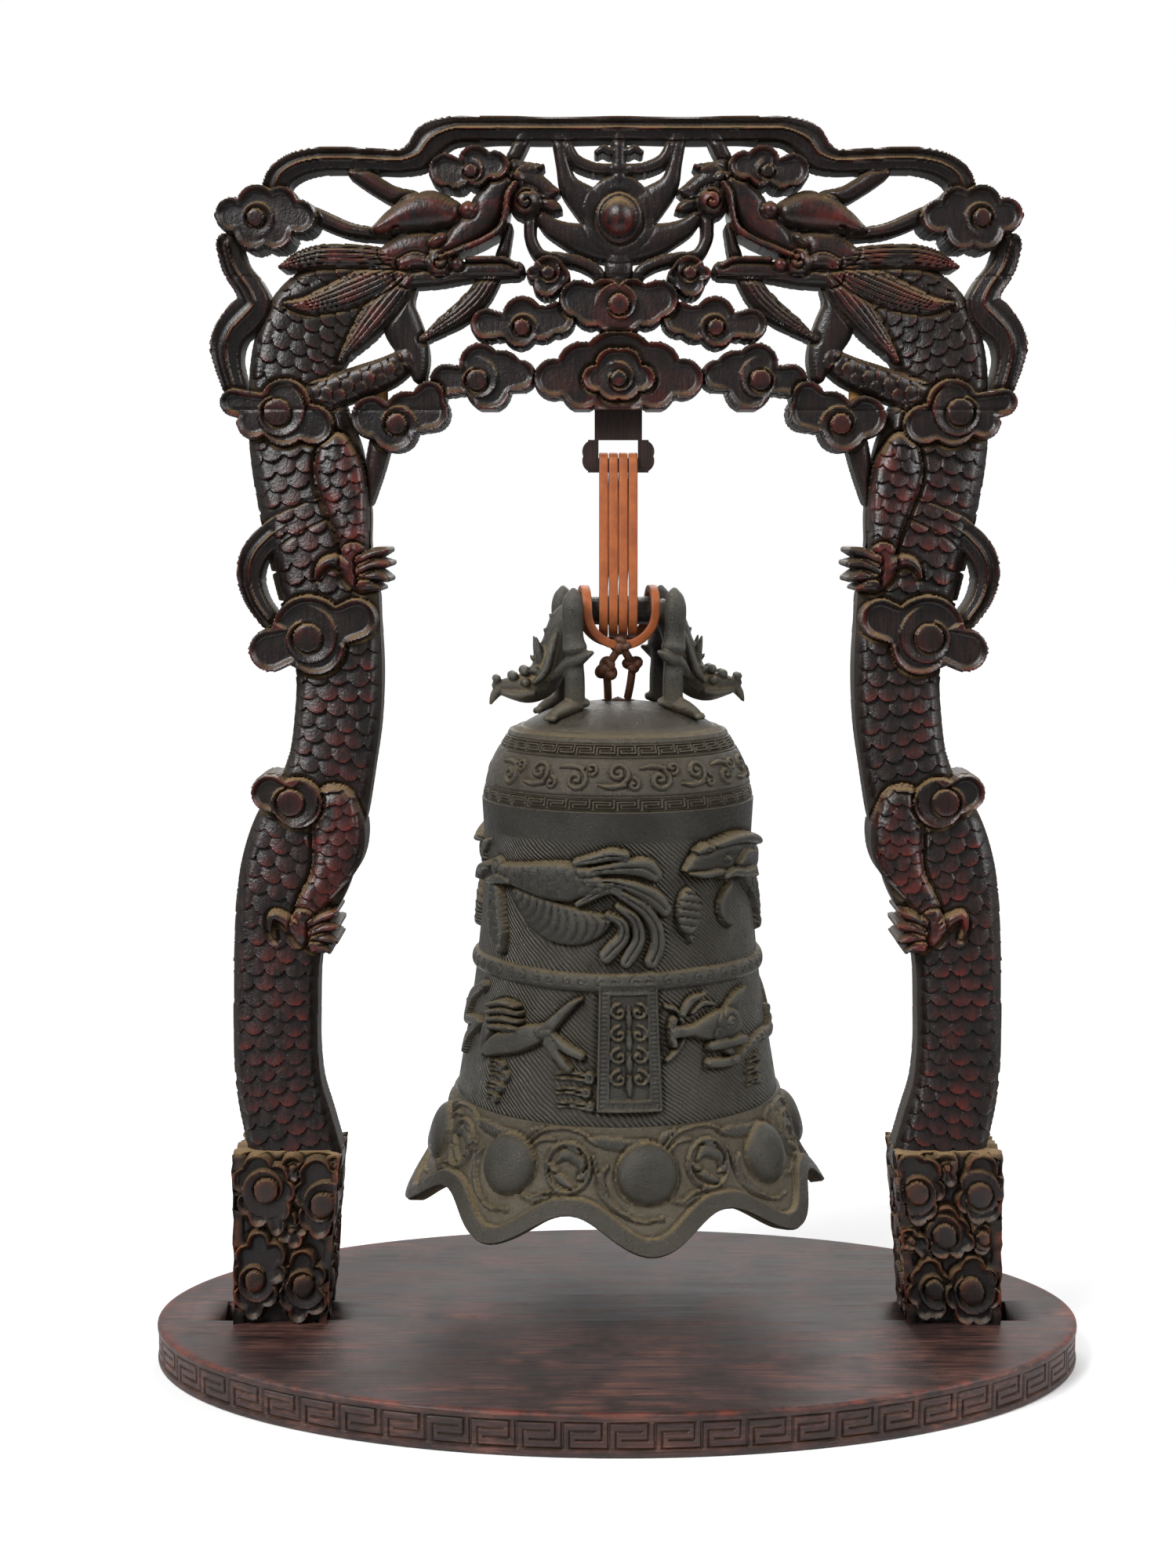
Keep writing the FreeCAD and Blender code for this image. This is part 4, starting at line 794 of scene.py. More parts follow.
def cut_board(name, low, high, left, right):
    """The carving between two heights as one closed piece: both faces, and walls at its outline and holes."""
    win = np.ix_((arch.up > low - arch_step) & (arch.up < high + arch_step),
                 (arch.across > left - arch_step) & (arch.across < right + arch_step))
    fields = (arch.X, arch.Z, arch.inside, arch.height, arch_worn, arch_dusty, arch_upward, arch_painted_shade)
    X, Z, inside, height, worn, dusty, upward, deep = (field[win] for field in fields)
    to_seam = np.minimum(Z - low, high - Z)
    inside = np.minimum(np.minimum(inside, to_seam), np.minimum(X - left, right - X))
    height = height - 0.5 * np.exp(-(to_seam / 0.45) ** 2)
    full = inside > 0
    count = int(full.sum())
    index = np.full(full.shape, -1)
    index[full] = np.arange(count)
    values = np.stack([X, Z, height, worn, dusty, upward, deep], -1)
    gathered = [values[full]]
    crossings = []
    for axis in (1, 0):
        here = (slice(None), slice(None, -1)) if axis else (slice(None, -1), slice(None))
        after = (slice(None), slice(1, None)) if axis else (slice(1, None), slice(None))
        crossed = full[here] != full[after]
        fall = np.where(crossed, inside[here] - inside[after], 1)
        share = np.clip(inside[here] / fall, 0.04, 0.96)[..., None]
        mixed = values[here] * (1 - share) + values[after] * share
        kept = np.where(full[here][..., None], values[here], values[after])
        mixed[..., 2:] = kept[..., 2:]
        number = np.full(crossed.shape, -1)
        number[crossed] = count + np.arange(int(crossed.sum()))
        count += int(crossed.sum())
        gathered.append(mixed[crossed])
        crossings.append(number)
    front = np.concatenate(gathered)
    corners = [index[:-1, :-1], index[:-1, 1:], index[1:, 1:], index[1:, :-1]]
    edges = [crossings[0][:-1], crossings[1][:, 1:], crossings[0][1:], crossings[1][:, :-1]]
    case = sum((corner >= 0).astype(int) << bit for bit, corner in enumerate(corners))
    faces, walls = [], []
    for number in range(1, 16):
        cells = case == number
        if not cells.any():
            continue
        bits = [number >> bit & 1 for bit in range(4)]
        ring, leaving = [], []
        for bit in range(4):
            if bits[bit]:
                ring.append(corners[bit][cells])
            if bits[bit] != bits[(bit + 1) % 4]:
                ring.append(edges[bit][cells])
                if bits[bit]:
                    after = next(turn for turn in range(bit + 1, bit + 5) if not bits[turn % 4]
                                 and bits[(turn + 1) % 4])
                    leaving.append((edges[bit][cells], edges[after % 4][cells]))
        faces.append(np.stack(ring, -1))
        walls += [np.stack(pair, -1) for pair in leaving]
    walls = np.concatenate(walls)
    first_rim = int(full.sum())
    rim = front[first_rim:]
    depth_shares = (0.78, 0.3, -0.3, -0.78)
    layers = [np.c_[front[:, 0], -front[:, 2], front[:, 1]], np.c_[front[:, 0], front[:, 2], front[:, 1]]]
    layers += [np.c_[rim[:, 0], -rim[:, 2] * share, rim[:, 1]] for share in depth_shares]
    wall_dust = np.random.default_rng(8).uniform(0.0, 0.07, len(rim)) + 0.16 * rim[:, 5]
    wear = np.concatenate([front[:, 3]] * 2 + [rim[:, 3] * 0.3] * 4)
    dust = np.concatenate([front[:, 4]] * 2 + [wall_dust * share for share in (0.7, 1, 1, 0.7)])
    # Painted shade: both faces keep the shade of their hollows and the walls round the openings take half of
    # it
    deep = np.concatenate([front[:, 6]] * 2 + [rim[:, 6] * 0.5] * 4)
    polygons = faces + [face[:, ::-1] + len(front) for face in faces]
    starts = [0] + [2 * len(front) + len(rim) * layer - first_rim for layer in range(4)] + [len(front)]
    for above, below in zip(starts, starts[1:]):
        outer, inner = walls[:, ::-1] + above, walls + below
        polygons.append(np.c_[outer, inner])
    return make_piece(name, np.concatenate(layers), polygons, carved_wood, 48,
                      worn=wear, dusty=dust, deep=deep)


carved_wood = rosewood("carved_and_waxed_rosewood", "#120e0d", "#291815", "#541d17", (0.9, 0.9, 0.06),
                       0.24, 0.5)
reach = 150.0
leg_end = 1.0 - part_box("leg_right")[0].x / MM
parts = [
    ("carved_upper_board", "arch_upper_board", board_seam + seam_gap, arch_top + 1, -reach, reach),
    ("carved_lower_board", "arch_lower_board", leg_seam + seam_gap, board_seam - seam_gap, -reach, reach),
    ("carved_leg_left", "leg_left", block_top_z, leg_seam - seam_gap, -reach, leg_end),
    ("carved_leg_right", "leg_right", block_top_z, leg_seam - seam_gap, -leg_end, reach)]
for name, node, low, high, left, right in parts:
    board = cut_board(name, low, high, left, right)
    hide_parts(node)
    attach(board, "stand")


# The bell's body: cast bronze gone brown-grey, with earth-coloured dust left in its relief and bare bosses.
# It is one casting: a rim of eight waves, a skirt of vines, and two fields of figures under a plain dome. The
# relief is carved on flattened curves of the outside and wrapped round, and one sheet closes down the inside.
bell_columns = 720
rim_lobes, rim_rise, rim_border = 8, 11.5, 6.3
bell_turn = math.radians(8.5)
bell_wall, dome_hole = 4.0, 6.0
rim_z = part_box("bell_body")[0].z / MM
# Curves of the outside as (radius, height over the rim), each on from the one before
bell_curves = {
    "skirt": [(75.6, 0), (64.5, 19.85), (58.2, 39.7)],
    "body": [(57.2, 39.7), (49.8, 87.2), (47.2, 129), (47.9, 144)],
    "shoulder": [(47.9, 144), (44.8, 156), (38.1, 168)],
    "dome": [(36.7, 168), (22.75, 175), (dome_hole, 177.9)]}
flat_radius = {"skirt": 67.0, "body": 49.0, "shoulder": 44.0, "dome": 30.0}
row_step = {"skirt": 0.62, "body": 0.5, "shoulder": 0.3, "dome": 1.5}
rope_height, rope_half, rope_rise = 87.2, 3.1, 1.9
boss_radius, boss_rise, boss_height = 10.4, 4.6, 25.0
pixel_mm = 0.27
# The relief's places are (across, down, half width) in an enlarged part of the photograph: where its corner
# lies and how many times enlarged it is
enlarged_corner, enlarged_scale = (500, 900), 2.5
camera_place = (-10.5, -765.15, 303.96)
phoenix_forms = [
    ("crest_leaf", [(300, 512, 14), (300, 462, 20), (318, 430, 7)], 1.6, 0),
    ("breast", [(338, 560, 24), (340, 610, 36), (341, 675, 44), (350, 740, 34), (356, 775, 16)], 2.8, 4.2),
    ("belly", [(405, 600, 24), (460, 650, 56), (520, 690, 64), (590, 705, 58), (650, 700, 38),
               (698, 682, 10)], 2.4, 0),
    ("back", [(372, 530, 30), (431, 545, 44), (500, 556, 60), (570, 562, 62), (625, 560, 46), (665, 575, 22)],
     3.4, 4.6),
    ("beak", [(322, 505, 14), (298, 520, 11), (290, 548, 4)], 3.2, 0),
    ("comb", [(330, 556, 10), (362, 552, 17), (392, 560, 9)], 3.8, 0)]
plumes = [[(590, 500, 12), (650, 487, 18), (700, 476, 21), (740, 480, 19)],
          [(612, 531, 13), (700, 519, 19), (762, 514, 27), (812, 520, 32), (836, 538, 26)],
          [(630, 558, 12), (731, 569, 18), (800, 596, 27), (848, 630, 30), (866, 650, 24)],
          [(596, 632, 10), (650, 602, 15), (690, 582, 20), (722, 590, 16)],
          [(690, 668, 10), (737, 698, 18), (738, 737, 22), (702, 780, 25), (684, 800, 23)],
          [(722, 642, 11), (772, 682, 19), (784, 750, 22), (760, 794, 23), (746, 818, 20)],
          [(712, 590, 12), (750, 615, 17), (802, 652, 21), (838, 706, 24), (844, 768, 25), (826, 816, 23)]]
beast_forms = [
    ("neck", [(1120, 540, 28), (1145, 590, 36), (1160, 640, 30), (1165, 690, 20)], 2.2, 4.0),
    ("head", [(925, 526, 3), (958, 506, 28), (1000, 490, 50), (1050, 474, 58), (1100, 468, 62),
              (1140, 474, 46)], 3.0, 0),
    ("lip", [(936, 534, 5), (985, 538, 12), (1030, 530, 12), (1060, 534, 8)], 3.8, 0),
    ("nose", [(962, 462, 10), (985, 452, 15), (1008, 452, 9)], 4.0, 0),
    ("brow", [(1020, 440, 12), (1070, 424, 17), (1120, 418, 18), (1152, 430, 12)], 4.2, 0),
    ("jowl", [(1040, 545, 8), (1068, 528, 15), (1100, 532, 15), (1128, 520, 12)], 4.2, 0),
    ("ear", [(1080, 500, 8), (1100, 470, 14), (1124, 462, 8)], 4.6, 0),
    ("paw", [(1068, 572, 10), (1056, 606, 22), (1050, 640, 27), (1056, 672, 20), (1072, 696, 9)], 2.4, 0),
    ("shell_foot", [(942, 700, 24), (942, 720, 12), (950, 752, 5)], 1.8, 0),
    ("shell", [(940, 592, 12), (940, 616, 32), (944, 650, 44), (942, 690, 38), (944, 712, 18)], 2.8, 0)]
figure_forms = [
    ("far_limb", [(302, 890, 15), (262, 935, 20), (245, 985, 18), (284, 1010, 13), (250, 1060, 13),
                  (240, 1100, 7)], 2.2, 0),
    ("shoulder", [(298, 1105, 14), (308, 1050, 22), (322, 990, 20)], 2.4, 0),
    ("haunch", [(322, 1095, 24), (345, 1080, 34), (400, 1066, 40), (450, 1052, 34), (500, 1038, 24)], 3.2, 0),
    ("tail", [(490, 1040, 22), (540, 990, 15), (575, 955, 11), (606, 935, 5)], 2.8, 0),
    ("bar_upper", [(500, 1050, 20), (545, 1085, 17), (605, 1118, 13)], 2.8, 0),
    ("bar_lower", [(505, 1075, 18), (535, 1120, 15), (565, 1160, 11)], 2.8, 0),
    ("hoop", [(868, 958, 7), (905, 972, 7), (923, 1010, 7), (926, 1060, 7), (905, 1102, 7), (876, 1132, 7)],
     1.6, 0),
    ("disc", [(893, 1000, 10), (889, 1040, 11), (894, 1082, 10)], 3.2, 0),
    ("bottle", [(905, 1042, 20), (950, 1036, 18), (990, 1030, 34), (1030, 1022, 48), (1070, 1010, 50)],
     3.2, 0),
    ("horn", [(1068, 985, 32), (1088, 940, 26), (1113, 898, 6)], 2.2, 0),
    ("leaf_long", [(925, 985, 8), (945, 946, 13), (992, 918, 6)], 1.8, 0),
    ("leaf_short", [(952, 980, 6), (990, 948, 9), (1020, 952, 5)], 1.6, 0),
    ("arm", [(1030, 1050, 20), (1060, 1090, 16), (1090, 1128, 10)], 2.2, 0),
    ("cuff_upper", [(1010, 1086, 15), (1060, 1077, 16), (1108, 1062, 15)], 3.0, 0),
    ("cuff_lower", [(1008, 1140, 15), (1050, 1138, 16), (1086, 1131, 14)], 2.8, 0),
    ("ribbed_tail", [(1082, 1130, 13), (1120, 1092, 14), (1160, 1055, 16), (1195, 1010, 18), (1206, 958, 10)],
     2.4, 3.0)]
fingers = [[(322, 955, 11), (368, 950, 14), (404, 960, 10)],
           [(322, 978, 11), (370, 976, 14), (412, 984, 10)],
           [(322, 1001, 11), (370, 1002, 14), (412, 1008, 10)],
           [(326, 1024, 11), (368, 1027, 13), (400, 1030, 9)]]
# Heads, joints and eyes as one disc each, with its height; then the spirals cut into three of them
discs = [((345, 512, 34), 3.6), ((1052, 486, 14), 4.8), ((1062, 1010, 48), 4.2), ((1160, 428, 18), 4.4),
         ((1168, 690, 20), 2.6)]
disc_spirals = [(990, 466, 17), (345, 505, 15), (1062, 1008, 26)]
# Wave lines that end in curls: the places of the curls, then how far their lines run to the left
wave_curls = [((352, 1152, 14), 60), ((362, 1184, 15), 70), ((345, 1220, 14), 55), ((332, 1252, 12), 40),
              ((628, 1192, 17), 95), ((618, 1238, 14), 85), ((632, 1282, 13), 95),
              ((1162, 1122, 14), 60), ((1158, 1158, 12), 60), ((1164, 1192, 12), 62)]
cartouche = [(660, 884, 0), (862, 1294, 0)]
cartouche_rim = 3.0
# The skirt's vine as one of its eight turns
roundel = (562, 1475, 78)
vine_lines = [[(430, 1398, 4), (470, 1362, 4), (540, 1350, 4), (610, 1366, 4), (650, 1400, 4)],
              [(642, 1440, 4), (655, 1500, 4), (680, 1560, 4), (720, 1612, 4), (790, 1648, 4),
               (862, 1640, 4)],
              [(432, 1420, 4), (480, 1385, 4), (520, 1384, 4)],
              [(452, 1568, 4), (500, 1552, 4), (560, 1562, 4)]]
flower = [[(528, 1452, 6), (552, 1432, 17), (582, 1442, 20), (606, 1468, 14), (600, 1490, 5)],
          [(515, 1498, 5), (536, 1508, 15), (556, 1524, 13), (582, 1540, 4)],
          [(590, 1510, 4), (610, 1504, 12), (626, 1484, 4)],
          [(556, 1404, 4), (576, 1410, 11), (598, 1428, 4)],
          [(506, 1462, 4), (514, 1478, 10), (530, 1486, 4)]]
vine_leaves = [[(625, 1384, 8), (690, 1396, 20), (752, 1402, 17), (818, 1390, 4)],
               [(690, 1470, 5), (668, 1500, 12), (676, 1560, 14), (712, 1606, 11), (760, 1634, 6)],
               [(410, 1560, 5), (450, 1575, 12), (500, 1570, 5)],
               [(480, 1345, 4), (440, 1362, 12), (418, 1392, 5)]]


def bell_curve(name):
    """One curve of the outside as rows of radius, height, run and outward normal."""
    points = np.column_stack([np.array(bell_curves[name], float), np.zeros(len(bell_curves[name]))])
    line = smooth_line(points, 400)
    way = np.gradient(line[:, :2], axis=0)
    way /= np.hypot(*way.T)[:, None]
    run = np.r_[0, np.cumsum(np.hypot(*np.diff(line[:, :2], axis=0).T))]
    return np.column_stack([line[:, :2], run, way[:, 1], -way[:, 0]])


curves = {name: bell_curve(name) for name in bell_curves}


def on_bell(rows, name):
    """Rows read off the enlarged photograph as places on one flattened curve of the bell, in mm."""
    across, down, size = np.array(rows, float).reshape(-1, 3).T
    across = enlarged_corner[0] + across / enlarged_scale - view_column
    down = enlarged_corner[1] + down / enlarged_scale - view_row
    far = np.linspace(640, 775, 700)[None, :]
    ahead = far * (math.cos(view_tilt) - down[:, None] / lens_pixels * math.sin(view_tilt))
    x = camera_place[0] + far * across[:, None] / lens_pixels
    y = camera_place[1] + ahead
    z = camera_place[2] - far * (math.sin(view_tilt) + down[:, None] / lens_pixels * math.cos(view_tilt))
    outside = np.concatenate([curves[key][:, :2] for key in curves])
    over = np.hypot(x, y) - np.interp(z - rim_z, outside[:, 1], outside[:, 0])
    hit = np.where((over < 0).any(1), (over < 0).argmax(1), over.argmin(1))
    at = np.arange(len(hit))
    turn = np.arctan2(x[at, hit], -y[at, hit]) - bell_turn
    curve = curves[name]
    run = np.interp(z[at, hit] - rim_z, curve[:, 1], curve[:, 2])
    return np.column_stack([turn * flat_radius[name], run, size / enlarged_scale * far[0, hit] / lens_pixels])


def flat_part(name, turn, spare):
    """A flattened stretch of one curve, over this share of the circle and some columns to spare."""
    step = 2 * math.pi * flat_radius[name] / bell_columns
    count = round(bell_columns * turn)
    # The skirt's one lobe ends at the front, and the half circles of the others have it in the middle
    across = (np.arange(-spare, count + spare) - (count if turn < 0.2 else count / 2)) * step
    length = curves[name][-1, 2]
    up = np.linspace(0, length, round(length / row_step[name]) + 1)
    part = Relief(across, up, 0.0)
    part.inside[:] = 9.0
    return part


def plume(relief, points, top):
    """A tail feather: a rounded band with a groove along its middle."""
    win, depth, across, along = stroke(relief, points)[:4]
    height = top * crown(across, 3) - 0.7 * np.exp(-(across / 0.14) ** 2) * ease(along / 6)
    relief.lay(win, depth, height, 0.5)


def ribs(relief, points, top, spacing, depth_of_cut):
    """A rounded form cut across by curved ribs."""
    win, depth, across, along = stroke(relief, points)[:4]
    lines = np.abs(np.sin((along + across ** 2 * 3) * math.pi / spacing)) ** 0.5
    height = top * crown(across, 2.4) - depth_of_cut * (1 - lines) * ease((1 - np.abs(across)) * 3)
    relief.lay(win, depth, height, 0.5)


def folded(field):
    """A field without its spare columns, with what they hold laid over the other end."""
    core = field[:, spare:-spare].copy()
    core[:, :spare] = np.maximum(core[:, :spare], field[:, -spare:])
    core[:, -spare:] = np.maximum(core[:, -spare:], field[:, :spare])
    return core


# The two fields of figures: front and back alike
spare = 30
body = flat_part("body", 0.5, spare)
for name, rows, top, pitch in phoenix_forms + beast_forms + figure_forms:
    if name in ("belly", "ribbed_tail"):
        ribs(body, on_bell(rows, "body"), top, 3.4, 0.9)
    else:
        carve_body(body, on_bell(rows, "body"), 0.5, top, 3.0, pitch=pitch, rise=0.6, groove=0.6, way=-1)
for rows in plumes:
    plume(body, on_bell(rows, "body"), 2.9)
for rows in fingers:
    carve_body(body, on_bell(rows, "body"), 0.0, 3.6, 2, groove=0.9)
for place, top in discs:
    x, z, size = on_bell([place], "body")[0]
    win, depth = body.lobes([(x, z, size)])
    body.lay(win, depth, top * np.sqrt(np.clip(depth / size, 0, 1)), 0.5)
for place, run in wave_curls:
    x, z, size = on_bell([place], "body")[0]
    run = run / enlarged_scale * pixel_mm
    carve_body(body, spiral(x, z, size, 1.3, -1, math.pi / 2, 0.75), 0.0, 1.7, 2, groove=0.4)
    for low in (z + size - 0.6, z - 0.6):
        rows = [(x - run, low, 0.35), (x - run / 2, low + 0.5, 0.5), (x, low - 0.2, 0.6)]
        carve_body(body, rows, 0.0, 1.0, 2, groove=0.2)
for place in disc_spirals:
    win, depth = stroke(body, spiral(*on_bell([place], "body")[0], 1.6, 1, 0, 0.5))[:2]
    body.height[win] -= 0.7 * ease(depth / 0.5)
# The rings cut round the shell
shell_x, shell_z, shell_size = on_bell([(938, 650, 44)], "body")[0]
win, depth = body.lobes([(shell_x, shell_z, shell_size * 1.4)])
rings = np.abs(np.sin((body.Z[win] - shell_z) * 1.15 + 0.25 * (body.X[win] - shell_x)))
body.height[win] -= 0.9 * (1 - rings) ** 2 * (body.height[win] > 1.2) * (depth > 0)
# The tall frame: a beaded rim, a thin line inside it, and paired scrolls on a stem in place of lettering
(left, top, _), (right, low, _) = on_bell(cartouche, "body")
win = body.window(left - 3, right + 3, low - 3, top + 3)
X, Z = body.X[win], body.Z[win]
to_side, to_end = np.minimum(X - left, right - X), np.minimum(Z - low, top - Z)
depth = np.minimum(to_side, to_end)
beads = 0.35 * np.abs(np.sin(np.where(to_side < to_end, Z, X) * math.pi / 1.5))
rim = np.where(depth < 1.0, 2.1, 1.3 + beads)
frame_height = np.where(depth < cartouche_rim, rim, 1.2)
frame_height = np.where(abs(depth - cartouche_rim - 0.5) < 0.55, 1.9, frame_height)
body.lay(win, depth, frame_height * ease(depth / 0.4), 0.7)
middle = (left + right) / 2
for z in np.linspace(top - 10.5, low + 10.5, 4):
    for side in (-1, 1):
        rows = spiral(middle + side * 3.0, z + 0.6, 2.9, 1.4, -side, math.pi / 2, 0.55)
        carve_body(body, rows, 1.2, 2.3, 2, groove=0.2)
    stem = [(middle, z - 5.2, 0.3), (middle, z - 2.5, 1.0), (middle, z + 2.6, 0.3)]
    carve_body(body, stem, 1.2, 2.4, 2, groove=0.2)
# The rope round the waist, with a pair of spirals cut in at each step
rope_run = np.interp(rope_height, curves["body"][:, 1], curves["body"][:, 2])
rope_lift = 0.35 * np.sin(body.X / flat_radius["body"] * 4)
off = (body.Z - rope_run - rope_lift) / rope_half
rope = rope_rise * np.sqrt(np.clip(1 - off ** 2, 0, 1))
body.height = np.where(np.abs(off) < 1, np.maximum(body.height, rope), body.height)
rope_pitch = math.pi * flat_radius["body"] / 14
for number in range(-8, 9):
    for side in (-1, 1):
        rows = spiral(number * rope_pitch + side * 2.3, rope_run, 1.9, 1.4, -side, math.pi / 2, 0.3)
        win, depth = stroke(body, rows)[:2]
        cut = ease(depth / 0.3 + 0.4) * (np.abs(off[win]) < 0.8) * (body.height[win] < 2.0)
        body.height[win] -= 0.4 * cut
collar = on_bell([(700, 436, 0)], "body")[0][1]
hatched = ease((0.25 - body.height) / 0.2) * (np.abs(off) > 1) * ease(collar - body.Z)

# The shoulder: two thin bands of square spirals and a row of cloud scrolls between them
shoulder = flat_part("shoulder", 0.5, spare)
unit = math.pi * flat_radius["shoulder"] / 18
length = curves["shoulder"][-1, 2]
bands = [(0.9, 4.5), (length - 6.1, length - 2.3)]
for low, high in bands:
    cell = (unit / 10, (high - low - 0.8) / 6)
    share = np.zeros_like(shoulder.X)
    for number in range(-11, 11):
        share = np.maximum(share, fret_share(shoulder.X - number * unit, shoulder.Z - low - 0.4, cell, 0.2))
    share *= (shoulder.Z > low) & (shoulder.Z < high)
    shoulder.height -= 0.6 * share
    for edge in (low - 0.35, high + 0.35):
        shoulder.height -= 0.5 * np.exp(-((shoulder.Z - edge) / 0.3) ** 2)
middle = (bands[0][1] + bands[1][0]) / 2
field_half = (bands[1][0] - bands[0][1]) / 2 - 1.2
end = math.radians(82) * flat_radius["shoulder"]
corner = 4.0
reach = np.hypot(np.maximum(np.abs(shoulder.X) - end + corner, 0),
                 np.maximum(np.abs(shoulder.Z - middle) - field_half + corner, 0)) - corner
shoulder.height -= 0.45 * np.exp(-(reach / 0.3) ** 2)
scroll_pitch = 2 * end / 9
for number in range(8):
    x = (number - 3.5) * scroll_pitch
    way = 1 if number % 2 else -1
    rise = way * 1.2
    lines = [spiral(x, middle + rise, 3.9, 1.7, way, -way * 1.2, 0.75),
             spiral(x + 5.0, middle - rise * 2.2, 2.2, 1.2, -way, way * 1.4, 0.6),
             [(x - 6.2, middle - rise * 2.4, 0.3), (x - 2.6, middle - rise * 2.9, 0.8),
              (x + 2.2, middle - rise * 2.3, 0.7)]]
    for rows in lines:
        carve_body(shoulder, rows, 0.0, 0.85, 2, groove=0.25)

# The skirt: a boss on each lobe, a flower in a ring between two, a vine past them and a plain border
period = 2 * math.pi * flat_radius["skirt"] / rim_lobes
skirt = flat_part("skirt", 1 / rim_lobes, 1)
wave = rim_rise * (1 - np.cos(rim_lobes * skirt.across / flat_radius["skirt"])) / 2
edge_run = np.interp(wave, curves["skirt"][:, 1], curves["skirt"][:, 2])
lean = np.cos(np.arctan(np.gradient(edge_run, skirt.across)))
from_rim = (skirt.Z - edge_run) * lean
for shift in (-period, 0, period):
    for rows in vine_leaves:
        win, depth, across, along, half = stroke(skirt, on_bell(rows, "skirt") + (shift, 0, 0))
        veins = np.abs(np.sin((along + np.abs(across) * half) * math.pi / 1.9))
        skirt.lay(win, depth, 1.0 * crown(across, 3) - 0.45 * (1 - veins), 0.4)
    for rows in vine_lines:
        carve_body(skirt, on_bell(rows, "skirt") * (1, 1, 1.35) + (shift, 0, 0), 0.0, 1.05, 2, groove=0.4)
    for rows in flower:
        ribs(skirt, on_bell(rows, "skirt") + (shift, 0, 0), 1.25, 1.5, 0.35)
    x, z, size = on_bell([roundel], "skirt")[0]
    ring = [(x + shift + size * math.cos(turn), z + size * math.sin(turn), 0.7)
            for turn in np.linspace(0, 2 * math.pi, 30)]
    carve_body(skirt, ring, 0.0, 1.15, 2, groove=0.4)
border = ease(from_rim / 0.5 + 0.6) * (1 - ease((from_rim - rim_border + 0.4) / 0.8))
skirt.height = np.where(from_rim < rim_border + 0.6, 1.5 * border, skirt.height)
skirt.height -= 0.5 * np.exp(-((from_rim - rim_border - 0.9) / 0.45) ** 2)
boss_away = np.full(skirt.X.shape, 9.0)
boss_ring, _, boss_run = (np.interp(boss_height, curves["skirt"][:, 1], column)
                          for column in curves["skirt"][:, :3].T)
for shift in (-1, 0):
    x = boss_ring * (skirt.X / flat_radius["skirt"] - shift * 2 * math.pi / rim_lobes)
    away = np.hypot(x, skirt.Z - boss_run) / boss_radius
    boss_away = np.minimum(boss_away, away)
    dome = boss_rise * np.clip(1 - away ** 2.6, 0, 1) ** 0.55
    skirt.height -= 0.6 * np.exp(-((away - 1.05) / 0.06) ** 2)
    skirt.height = np.where(away < 1, np.maximum(skirt.height, dome), skirt.height)

# One mesh: each curve's rows in turn, then back down the inside. A row holds radius, height, wear, dust, how
# far it is scored, and how deep it lies, which is painted as shade
rng = np.random.default_rng(21)
turns = 2 * math.pi * np.arange(bell_columns) / bell_columns - math.pi
sway = rim_rise * (1 - np.cos(rim_lobes * turns)) / 2
rows = []
for name, relief in (("skirt", skirt), ("body", body), ("shoulder", shoulder)):
    relief.height += rng.normal(0, 0.02, relief.height.shape)
    worn, dusty, deep = wear_shares(relief, 0.8, 2.2)
    worn *= 0.5
    scored = np.zeros_like(worn)
    curve = curves[name]
    if name == "body":
        scored = hatched
        dusty *= 0.75
    elif name == "shoulder":
        dusty = np.clip(dusty + 0.1, 0, 1)
    else:
        # Dust lies in the sunk ground, while the bosses and the border are bare
        sunk = ease((0.75 - relief.height) / 0.5) * (from_rim > rim_border)
        dusty = np.clip(dusty + 0.2 * sunk, 0, 1)
        bare = np.maximum(ease(rim_border - from_rim), ease((1.0 - boss_away) / 0.12))
        dusty *= 1 - 0.9 * bare
        worn *= 1 - 0.5 * bare
        # Painted shade in the skirt's hollows, made weaker and kept off the bare bosses and border; the plain
        # border is made darker all over
        deep = deep * 0.4 * (1 - bare) + 0.6 * ease(rim_border - from_rim)
    fields = (relief.height, worn, dusty, scored, deep)
    if name == "skirt":
        # The rows close up towards the waves of the rim
        edge = np.interp(sway, curve[:, 1], curve[:, 2])
        runs = edge + (curve[-1, 2] - edge) * np.linspace(0, 1, len(relief.up))[:, None]
        place = runs / relief.up[1]
        under = np.clip(place.astype(int), 0, len(relief.up) - 2)
        share = place - under
        column = np.arange(bell_columns)
        full = [np.tile(field[:, 1:-1], rim_lobes) for field in fields]
        full = [field[under, column] * (1 - share) + field[under + 1, column] * share for field in full]
    else:
        full = [np.roll(np.tile(folded(field), 2), bell_columns // 4, 1) for field in fields]
        runs = np.repeat(relief.up[:, None], bell_columns, 1)
    lift, worn, dusty, scored, deep = full
    radius, height, nr, nz = (np.interp(runs, curve[:, 2], curve[:, key]) for key in (0, 1, 3, 4))
    dusty = np.clip(dusty + 0.14 * np.clip(nz, 0, 1), 0, 1)
    rows.append(np.stack([radius + lift * nr, height + lift * nz, worn, dusty, scored, deep], -1))
curve = curves["dome"]
runs = np.r_[0, 0.35, np.linspace(0.9, curve[-1, 2], 44)]
radius, height = (np.interp(runs, curve[:, 2], curve[:, key]) for key in (0, 1))
height[1:] += 0.5 * np.exp(-((runs[1:] - 1.6) / 0.9) ** 2) - 0.5 * np.exp(-((runs[1:] - 4.0) / 0.6) ** 2)
dome_rows = np.zeros((len(runs), bell_columns, 6))
dome_dust = 0.12 + 0.4 * np.exp(-(runs / 3.5) ** 2)
for key, values in enumerate((radius, height, np.full(len(runs), 0.25), dome_dust)):
    dome_rows[..., key] = values[:, None]
inner_points = np.array([(dome_hole, 174.4), (24, 171), (34.5, 164.5), (40.8, 156), (43.7, 144), (43.2, 129),
                         (45.8, 87.2), (53.6, 42), (60.6, 20), (71.4, 0)])
